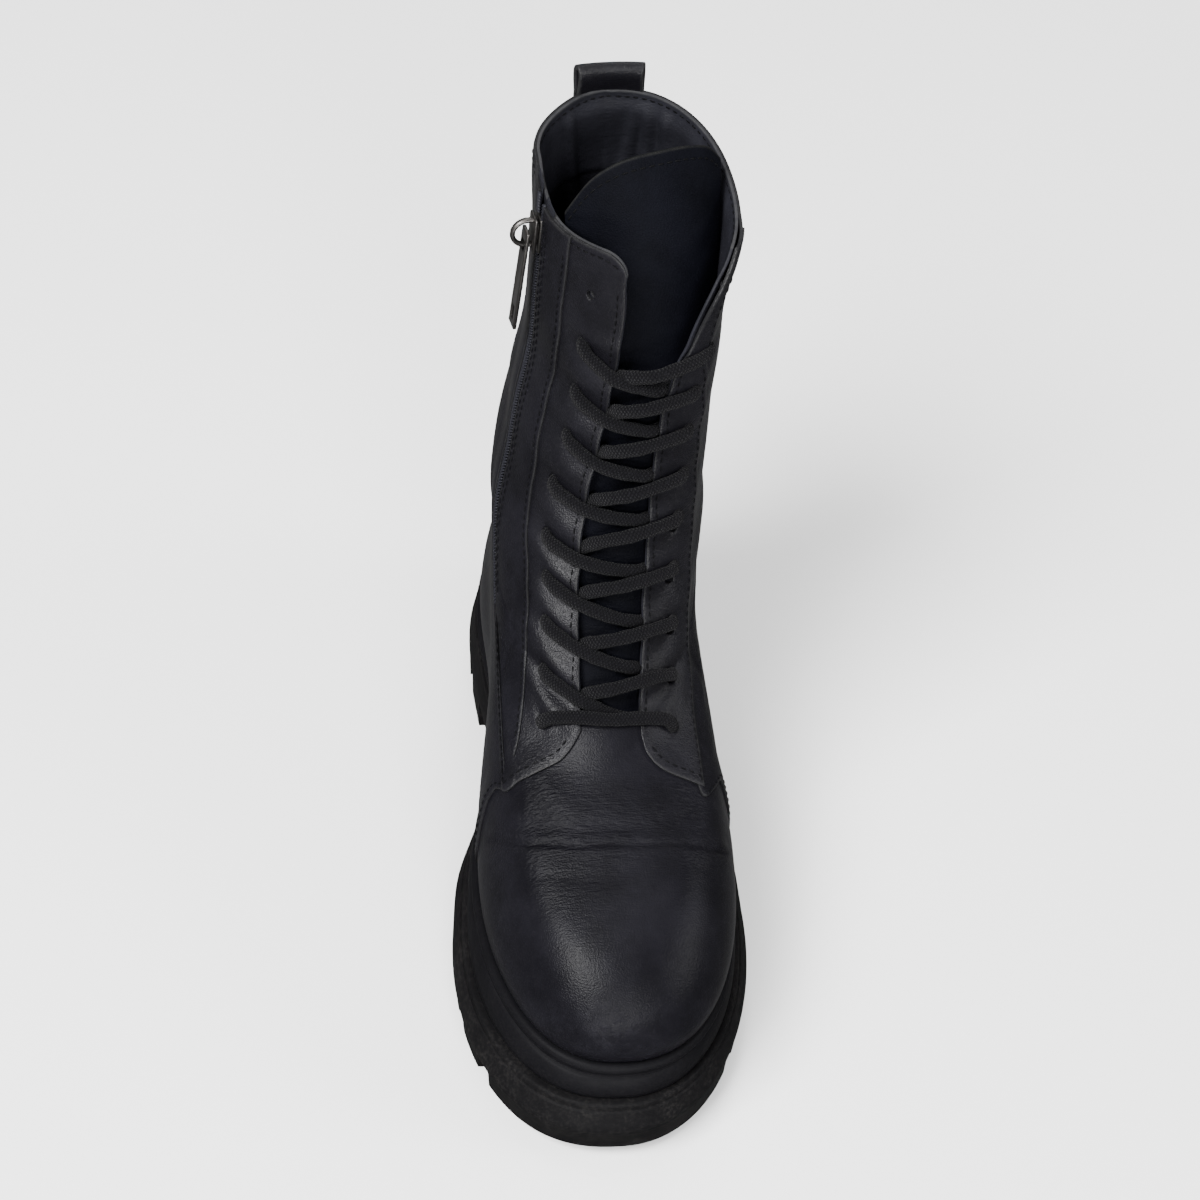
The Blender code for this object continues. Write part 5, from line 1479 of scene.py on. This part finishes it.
class BOOT_OT_tongue(BootPiece, bpy.types.Operator):
    """Build the tongue"""

    bl_idname = "boot.tongue"
    bl_label = "Tongue"

    def execute(self, context):
        rows_v = np.linspace(TONGUE_TABLE[0, 0], TONGUE_TABLE[-1, 0], 130)
        share = np.linspace(-1, 1, 56)
        points = tongue_rows(rows_v, share, TONGUE_DEPTH)
        rows_v = rows_v[:, None]
        waves = 0.5 * np.sin(rows_v * 34 + share * 2.2) * eased((rows_v - 0.4) / 0.1)
        points = points + grid_normals(points) * waves[..., None]
        distances = rim_distances(points)
        thing = bent_grid("tongue_body", points, sheet_size(distances), edge=distances["high"],
                          wrinkling=0.5 * bell(rows_v - 0.62, 0.2), scuff=0.0)
        give_wall(thing, sizes()["tongue_wall"], TONGUE_ROUNDING)
        complete(thing, ("tongue_leather_painted_shade", "cut_edge"), stands_for=("tongue",))
        sew_below_edge("tongue_stitching", points, TONGUE_SEAM_INSET, 0.1)
        return {"FINISHED"}


def pull_loop_rows(half_width, columns):
    """mm points of the strap's middle surface, from its outer tail over the arch to its inner tail."""
    outside = PULL_LOOP_REST + PULL_LOOP_WALL / 2
    back = lobe_lengths(np.array(1.0))[1]
    turn = 1 - np.linspace(0.5, -0.5, columns) * half_width * 2 / back / 2
    tail_v = PULL_LOOP_TAIL / SHAFT_BACK * (1 - COUNTER_V)
    rows = np.linspace(1 - tail_v, PULL_LOOP_TOP_V, 14)
    outer = [skin(v, turn, outside + 0.3 * eased((v - 0.9) / 0.02), folded=False) for v in rows]
    inner = [skin(v, turn, PULL_LOOP_INSIDE, folded=False) for v in rows[::-1]]
    middle, half = (outer[-1] + inner[0]) / 2, (outer[-1] - inner[0]) / 2
    arch = []
    for angle in np.linspace(0, math.pi, 34)[1:-1]:
        rise = math.sin(angle)
        point = middle + half * math.cos(angle) * (1 + PULL_LOOP_SWELL * rise)
        point[:, 1] += (point[:, 1].mean() - point[:, 1]) * PULL_LOOP_FLATTEN * rise
        point[:, 2] += PULL_LOOP_RISE * rise ** PULL_LOOP_POWER
        arch.append(point)
    return np.array([*outer, *arch, *inner])


class BOOT_OT_pull_loop(BootPiece, bpy.types.Operator):
    """Build the strap loop sewn over the back of the collar"""

    bl_idname = "boot.pull_loop"
    bl_label = "Pull loop"

    def execute(self, context):
        points = pull_loop_rows(PULL_LOOP_WIDTH / 2, 21)
        distances = rim_distances(points)
        thing = bent_grid("collar_loop", points, (PULL_LOOP_WIDTH, distances["low"][-1].mean()),
                          edge=np.minimum.reduce(list(distances.values())), wrinkling=0.25, scuff=0.0)
        give_wall(thing, PULL_LOOP_WALL, PULL_LOOP_ROUNDING, 3, 0.0)
        finished_leather(thing, stands_for=("pull_loop",), leather="laced_leather")
        return {"FINISHED"}


# The lace ----
def strand(start, end, over):
    """(v, mm, height) places of one strand, from inside one hole to inside the next hole up."""
    start_side, end_side = ("lateral" if mm > 0 else "medial" for _, mm in (start, end))
    sign = 1.0 if end[1] > 0 else -1.0
    near = -sign * float(facing(start[0] + 0.006, start_side))
    far = sign * float(facing(end[0] - 0.004, end_side))
    cross = 3.3 if over else -0.9

    def at(mm, height):
        """The strand where it passes mm: most of its rise is at its medial end."""
        share = (mm - start[1]) / (end[1] - start[1])
        rise = 1 - (1 - share) ** 2.3 if over else share ** 1.8
        return start[0] + (end[0] - start[0]) * rise, mm, height
    return [
        (*start, -3.4),
        at(start[1] * 0.86, -4.6),
        at(near * 1.35, -4.5),
        at(near, -3.0 if over else -3.4),
        at(near * 0.45, cross * 0.55 - 0.6),
        at(0.0, cross),
        at(far * 0.55, cross * 0.5 + 1.2),
        at(far, 2.5),
        at(far + (end[1] - far) * 0.40, 2.35),
        at(far + (end[1] - far) * 0.80, 2.15),
        (end[0], end[1] - sign * 0.6, 0.9),
        (*end, -1.4),
    ]


def lace_places():
    """(v, mm, height) places of the whole lace from its medial end to its lateral end."""
    chains = []
    for side, far in (("medial", "lateral"), ("lateral", "medial")):
        chain = []
        for pair in range(LACED_PAIRS - 1):
            chain += strand(eyelet(pair, side), eyelet(pair + 1, far), far == "lateral")
            side, far = far, side
        chains.append([*chain, (*eyelet(LACED_PAIRS - 1, side), -3.6)])
    (left_v, left), (right_v, right) = eyelet(0, "medial"), eyelet(0, "lateral")
    bar = [(left_v, left, -1.4), (left_v, left + 0.6, 0.9)]
    for share in (0.10, 0.28, 0.5, 0.72, 0.90):
        bar.append((left_v + (right_v - left_v) * share + 0.007 * math.sin(share * math.pi),
                    left + (right - left) * share, 2.3 + 0.5 * math.sin(share * math.pi)))
    bar += [(right_v, right - 0.6, 0.9), (right_v, right, -1.4)]
    return chains[0][::-1] + bar + chains[1]


class BOOT_OT_lace(BootPiece, bpy.types.Operator):
    """Run one braided lace through the holes, with its ends inside the top laced pair"""

    bl_idname = "boot.lace"
    bl_label = "Lace"

    def execute(self, context):
        places = np.array(lace_places())
        reach = np.maximum(0.0, 1 - (places[:, 1] / LACE_REACH) ** 2)
        places[:, 0] += np.interp(places[:, 0], *LACE_BOW) * reach
        rough = skin(places[:, 0], turn_at(places[:, 0], places[:, 1]), places[:, 2])
        run = running_length(rough)
        points = smooth_table(np.column_stack([run, rough]), np.arange(0.0, run[-1], 0.5))
        for _ in range(6):
            points[1:-1] = (points[:-2] + 2 * points[1:-1] + points[2:]) / 4
        step = running_length(points)
        even = np.arange(0.0, step[-1], LACE_STEP)
        points = read_along(even, step, points)
        v, mm = read_along(even, run * step[-1] / run[-1], places[:, :2]).T
        turn = turn_at(v, mm)
        up = skin(v + 0.004, turn, 0.0, folded=False) - skin(v - 0.004, turn, 0.0, folded=False)
        made = sizes()
        wobble = 1 + 0.035 * np.sin(even * 0.35) + 0.025 * np.sin(even * 0.83 + 2)
        thing = swept("braided_lace", points, up, ellipse(made["lace_width"], made["lace_height"], 18), wobble)
        nodes = ["lace_bar"] + ["lace_crossing_%d" % k for k in range(1, LACED_PAIRS)]
        complete(thing, ("lace_braid",), stands_for=nodes, angle=80)
        return {"FINISHED"}


# The zip ----
def hinge_place():
    """The pull's hinge in mm."""
    return Vector(frame["joints"][0]["pos_m"]) / MILLIMETRE


def slider_frame():
    """The slider's foot on the leather in mm, and unit vectors across, up the zip and outwards."""
    v = np.array(SLIDER_V)
    turn = turn_at(v, zip_mm(v))
    out = Vector(skin_normal(v, turn)).normalized()
    below = v - 0.05
    up = Vector(skin(v, turn, 0.0, folded=False) - skin(below, turn_at(below, zip_mm(below)), 0.0, folded=False))
    up = (up - up.project(out)).normalized()
    foot = hinge_place() - out * (SLIDER_REST + SLIDER_THICKNESS + AXIS_ABOVE_SLIDER)
    return foot, up.cross(out), up, out


def set_on(thing, origin, across, up, out):
    """Take a piece modelled about the world's origin, X across, Y up, Z out in mm, to its place."""
    turn = Matrix((across, up, out)).transposed().to_4x4()
    thing.data.transform(Matrix.Translation(origin * MILLIMETRE) @ turn @ Matrix.Scale(MILLIMETRE, 4))
    thing.data.update()


def block(name, size, at, corner, upright):
    """A box in mm with its upright edges rounded by corner and the rest by upright."""
    clear_selection()
    bpy.ops.mesh.primitive_cube_add(size=1, location=(0, 0, 0))
    thing = bpy.context.object
    thing.name = thing.data.name = name

    def stand_edges():
        """Select the edges that run along Z."""
        form = bmesh.from_edit_mesh(thing.data)
        bpy.ops.mesh.select_all(action="DESELECT")
        for one in form.edges:
            one.select = abs(one.verts[0].co.z - one.verts[1].co.z) > 0.5
        bmesh.update_edit_mesh(thing.data)
    edit(thing,
         lambda: bpy.ops.transform.resize(value=size, center_override=(0, 0, 0)),
         lambda: bpy.ops.transform.translate(value=at),
         stand_edges,
         lambda: bpy.ops.mesh.bevel(offset=corner, segments=6, affect="EDGES"))
    bevel(thing, upright, 3, 40)
    return thing


def build_tapes():
    """The two woven tapes, which part above the slider."""
    v = np.linspace(0.395, 1.012, 200)[:, None]
    open_by = TAPE_OPEN * eased((v - SLIDER_V) / OPEN_RUN)
    for name, first, last, nodes in (("zip_tape_back", -TAPE_OUTER, -TAPE_INNER, ("zip_coil",)),
                                     ("zip_tape_front", TAPE_INNER, TAPE_OUTER, ())):
        mm = np.linspace(first, last, 9)
        spread = zip_mm(v) + mm + np.sign(mm) * open_by * bell(mm, 9.0)
        thing = bent_grid(name, skin(v, turn_at(v, spread), TAPE_SINK), (TAPE_OUTER - TAPE_INNER, 190.0))
        edit(thing, lambda: bpy.ops.mesh.normals_make_consistent(inside=False))
        modify(thing, "SOLIDIFY", thickness=0.5 * MILLIMETRE, offset=0.0)
        complete(thing, ("zip_tape",), stands_for=nodes)


def build_teeth():
    """The nylon teeth, one by one from either side."""
    rows = np.linspace(0.41, 1.0, 400)
    v, turn = even_places(inset_line(rows, zip_mm, 0.0), sizes()["tooth_pitch"] / 2)
    sign = np.where(np.arange(len(v)) % 2 == 0, 1.0, -1.0)
    apart = np.where(v > SLIDER_V, TOOTH_OPEN * eased((v - SLIDER_V) / OPEN_RUN), 0.0)
    mm = mm_at(v, turn) + sign * (TOOTH_OFF + apart)
    turn = turn_at(v, mm)
    here, normal = skin(v, turn, TOOTH_LIFT), skin_normal(v, turn)
    ahead = unit(skin(v + 0.004, turn_at(v + 0.004, mm), TOOTH_LIFT) - here)
    slant = unit(unit(np.cross(ahead, normal)) + ahead * (TOOTH_SLANT * sign)[:, None])
    clear_selection()
    bpy.ops.mesh.primitive_uv_sphere_add(segments=8, ring_count=5, radius=0.5)
    tooth = bpy.context.object
    edit(tooth, lambda: bpy.ops.transform.resize(value=TOOTH_SIZE, center_override=(0, 0, 0)))
    put(tooth, vertex_table(tooth))
    teeth = repeated("zip_teeth", template(tooth), (here, np.stack([slant, np.cross(normal, slant), normal], axis=1)))
    complete(teeth, ("zip_nylon",), angle=80)


def build_slider():
    """The slider: two plates, the core between them and the bridge that holds the pull."""
    top = SLIDER_REST + SLIDER_THICKNESS
    plate = (SLIDER_WIDTH, SLIDER_LENGTH, SLIDER_PLATE)
    low = block("slider_low", plate, (0, 0, SLIDER_REST + 0.63), 2.4, 0.35)
    high = block("slider_high", plate, (0, 0, top - 0.63), 2.4, 0.45)
    core = block("slider_core", (SLIDER_WIDTH * 0.5, SLIDER_LENGTH * 0.62, SLIDER_THICKNESS - 0.4),
                 (0, 0, SLIDER_REST + SLIDER_THICKNESS / 2), 1.2, 0.2)
    hinge = top + AXIS_ABOVE_SLIDER
    leg = [(0, -BRIDGE_RADIUS, SLIDER_REST + BRIDGE_FOOT), (0, -BRIDGE_RADIUS, hinge - 1.2)]
    arch = [(0, -BRIDGE_RADIUS * math.cos(a), hinge + BRIDGE_RADIUS * math.sin(a))
            for a in np.linspace(0, math.pi, 25)]
    path = leg + arch + [(x, -y, z) for x, y, z in leg[::-1]]
    bridge = swept("slider_bridge", path, np.tile((1.0, 0, 0), (len(path), 1)), ellipse(BRIDGE_WIDTH, BRIDGE_WIRE, 14))
    bridge.data.transform(Matrix.Scale(1 / MILLIMETRE, 4))
    slider = joined("slider_and_bridge", [low, high, core, bridge])
    set_on(slider, *slider_frame())
    complete(slider, ("slider_metal",), stands_for=("zip_slider",), angle=50)


def build_pull():
    """The pull tab with the eye it swings on and a small hole near its foot."""
    _, across, up, out = slider_frame()
    swing = Matrix.Rotation(math.radians(-PULL_TILT), 3, across)
    tab = block("pull_tab", (PULL_WIDTH, PULL_LENGTH + PULL_ABOVE_AXIS, PULL_THICKNESS),
                (0, -(PULL_LENGTH - PULL_ABOVE_AXIS) / 2, 0), 3.0, 0.4)
    eye = block("pull_eye", (4.4, 4.6, 6), (0, -BRIDGE_RADIUS, 0), 1.6, 0.05)
    foot_eye = block("pull_foot_eye", (3.0, 6.0, 6), (0, -PULL_LENGTH + PULL_FOOT, 0), 1.4, 0.05)
    for cutter in (eye, foot_eye):
        cut_away(tab, cutter)
    bevel(tab, 0.25, 2, 60)
    set_on(tab, hinge_place(), across, swing @ up, swing @ out)
    complete(tab, ("slider_metal",), body="pull", stands_for=("zip_pull",), angle=50)


class BOOT_OT_zip(BootPiece, bpy.types.Operator):
    """Build the zip: woven tapes, nylon teeth, slider with its bridge, and the pull tab"""

    bl_idname = "boot.zip"
    bl_label = "Zip"

    def execute(self, context):
        for build in (build_tapes, build_teeth, build_slider, build_pull):
            build()
        return {"FINISHED"}


# The stitching ----
def inset_line(rows, edge, inset):
    """(v, turn) places beside an edge read at v in signed mm; inset is mm towards plus."""
    return np.stack([rows, turn_at(rows, read_edge(edge, rows) + inset)], axis=1)


def upright_line(rows, turn):
    """(v, turn) places straight up the boot."""
    return np.stack([rows, np.full(rows.shape, turn)], axis=1)


def level_line(v, first, last):
    """(v, turn) places along one ring."""
    return np.stack([np.full(90, v), first + (last - first) * np.linspace(0, 1, 90)], axis=1)


def tab_line(line, low, high, up):
    """(v, turn) places a little above a tab's lower edge, given as (mm, v) pairs."""
    mm = np.linspace(low, high, 60)
    v = smooth_line(line, mm)
    slope = np.gradient(v, mm) * 330
    rise = up / np.sqrt(1 + slope ** 2)
    shift = -slope * rise
    return np.stack([v + rise / 400, turn_at(v, mm + shift)], axis=1)


SEAM_END = 0.985         # v where the upright seams end under the collar's rim
BACK_SEAM_INSET = 0.021  # turn from the back seam to the stitching on either side
RIM_V, RIM_INSET = 0.986, 0.010     # v of the collar's stitching, and its distance in v from the medial corner


def corner_line():
    """(v, turn) places under the collar's higher front corner."""
    mm = np.linspace(-56, -18, 40)
    v = collar_v(mm) - RIM_INSET
    return np.stack([v, turn_at(v, mm)], axis=1)


def seams():
    """Each seam piece's name, its height over the boot's face in mm and its (v, turn) lines."""
    throat, shaft = np.linspace(0.445, SEAM_END, 120), np.linspace(0.33, 0.99, 120)
    guard, full = np.linspace(0.345, SEAM_END, 120), np.linspace(0.44, SEAM_END, 120)
    return (
        ("throat_stitching", 0.16, (
            inset_line(throat, lambda v: facing(v, "lateral"), 2.6),
            inset_line(throat, lambda v: -facing(v, "medial"), -2.6),
            corner_line())),
        ("tab_stitching", 1.42, (
            tab_line(TAB_MEDIAL, -77, -16, 2.8),
            tab_line(TAB_LATERAL, 15, 57.5, 2.8),
            inset_line(np.linspace(0.305, 0.97, 140), EYESTAY_LATERAL_BACK, -2.8),
            inset_line(np.linspace(0.272, 0.405, 40), EYESTAY_MEDIAL_BACK, 2.6))),
        ("guard_stitching", 1.12, (
            inset_line(guard, GUARD_FRONT, -2.4),
            inset_line(full, zip_mm, ZIP_GAP + 2.2),
            inset_line(full, zip_mm, ZIP_GAP + 5.0))),
        ("quarter_stitching", 1.02, (
            inset_line(np.linspace(0.02, 0.29, 60), QUARTER_LATERAL, 2.6),
            inset_line(np.linspace(0.02, 0.27, 60), QUARTER_MEDIAL, -2.6))),
        ("shaft_stitching", 0.05, (
            inset_line(np.linspace(0.43, SEAM_END, 100), zip_mm, -ZIP_GAP - 2.4),
            upright_line(shaft, 1 - BACK_SEAM_INSET),
            upright_line(shaft, 1 + BACK_SEAM_INSET),
            level_line(RIM_V, 0.46, 0.90),
            level_line(RIM_V, 1.10, 1.42))),
    )


class BOOT_OT_stitching(BootPiece, bpy.types.Operator):
    """Sew every seam with single stitches at its real spacing"""

    bl_idname = "boot.stitching"
    bl_label = "Stitching"

    def execute(self, context):
        made = sizes()
        pattern = stitch_pattern(made["stitch_length"], made["thread_width"])
        for name, height, lines in seams():
            thing = repeated(name, pattern, stitch_frames(lines, made["stitch_pitch"], height))
            complete(thing, ("sewing_thread",), angle=80)
        return {"FINISHED"}


# The studio ----
CAMERA_AT = (-104.7, -684.7, 932.3)
CAMERA_AHEAD = (0.0392, 0.6416, -0.7660)
CAMERA_LENS, CAMERA_SENSOR, CAMERA_SHIFT = 84.0, 36.0, (0.140, 0.0625)
FLOOR_SIZE, SKY_STRENGTH = 30, 0.27
LIGHTS = (               # name, place, aim and size in metres, watts
    ("key", (-1.15, -0.80, 2.15), (0, 0, 0.12), (1.1, 1.1), 212),
    ("above", (0.1, 0.7, 2.8), (0, 0, 0.12), (1.1, 0.8), 24),
    ("front", (0.3, -2.3, 1.5), (0, 0, 0.15), (0.9, 0.6), 70),
    ("back", (0.5, 2.1, 1.7), (0, 0, 0.15), (0.9, 0.6), 22),
    ("low", (-0.35, -1.7, 0.40), (0, 0, 0.2), (0.9, 0.35), 26),
    ("right", (2.1, -0.5, 1.3), (0, 0, 0.12), (0.9, 0.9), 42),
)


def area_light(name, at, aim, size, power):
    """A soft rectangular light in watts aimed at a point; distances in metres."""
    clear_selection()
    turned = (Vector(aim) - Vector(at)).to_track_quat("-Z", "Y").to_euler()
    bpy.ops.object.light_add(type="AREA", location=at, rotation=turned)
    lamp = bpy.context.object
    lamp.name = name
    lamp.data.shape = "RECTANGLE"
    lamp.data.size, lamp.data.size_y = size
    lamp.data.energy = power


class BOOT_OT_studio(BootPiece, bpy.types.Operator):
    """Set up the pale floor, the soft lights and the camera"""

    bl_idname = "boot.studio"
    bl_label = "Studio"

    def execute(self, context):
        clear_selection()
        bpy.ops.mesh.primitive_plane_add(size=FLOOR_SIZE, location=(0, 0, 0))
        floor = bpy.context.object
        floor.name = floor.data.name = "studio_floor"
        floor.data.materials.append(bpy.data.materials["studio_floor"])
        floor.visible_glossy = False        # the pale floor lights the boot without mirroring in it

        world = bpy.data.worlds.new("studio")
        world.use_nodes = True
        sky = world.node_tree.nodes["Background"].inputs
        sky["Color"].default_value, sky["Strength"].default_value = (1, 1, 1, 1), SKY_STRENGTH
        context.scene.world = world
        for light in LIGHTS:
            area_light(*light)

        ahead = Vector(CAMERA_AHEAD).normalized()
        right = ahead.cross((0, 0, 1)).normalized()
        above = right.cross(ahead)
        bpy.ops.object.camera_add(location=Vector(CAMERA_AT) * MILLIMETRE,
                                  rotation=Matrix((right, above, -ahead)).transposed().to_euler())
        camera = bpy.context.object
        camera.data.lens, camera.data.sensor_width = CAMERA_LENS, CAMERA_SENSOR
        camera.data.shift_x, camera.data.shift_y = CAMERA_SHIFT
        context.scene.camera = camera
        return {"FINISHED"}


STEPS = (BOOT_OT_finishes, BOOT_OT_sole, BOOT_OT_lining, BOOT_OT_vamp, BOOT_OT_quarters, BOOT_OT_eyestays,
         BOOT_OT_zip_guard, BOOT_OT_tongue, BOOT_OT_pull_loop, BOOT_OT_lace, BOOT_OT_zip, BOOT_OT_stitching,
         BOOT_OT_studio)


class BOOT_PT_panel(bpy.types.Panel):
    """Sizes, colours and steps of the boot"""

    bl_idname = "BOOT_PT_panel"
    bl_label = "Lace-up Boot"
    bl_space_type = "VIEW_3D"
    bl_region_type = "UI"
    bl_category = "Boot"

    def draw(self, context):
        for group in (context.scene.boot_sizes, context.scene.boot_colours):
            box = self.layout.box()
            for name in group.__annotations__:
                box.prop(group, name)
        for step in STEPS:
            self.layout.operator(step.bl_idname)


CLASSES = (BootColours, BootSizes, *STEPS, BOOT_PT_panel)


def register():
    """Register the add-on's classes and properties."""
    for each in CLASSES:
        bpy.utils.register_class(each)
    bpy.types.Scene.boot_colours = bpy.props.PointerProperty(type=BootColours)
    bpy.types.Scene.boot_sizes = bpy.props.PointerProperty(type=BootSizes)


def unregister():
    """Remove them again."""
    del bpy.types.Scene.boot_colours
    del bpy.types.Scene.boot_sizes
    for each in reversed(CLASSES):
        bpy.utils.unregister_class(each)


def main():
    """Build the boot and its studio step by step."""
    register()
    for step in STEPS:
        group, name = step.bl_idname.split(".")
        if getattr(getattr(bpy.ops, group), name)() != {"FINISHED"}:
            raise RuntimeError("%s did not finish" % step.bl_label)


if __name__ == "__main__":
    main()
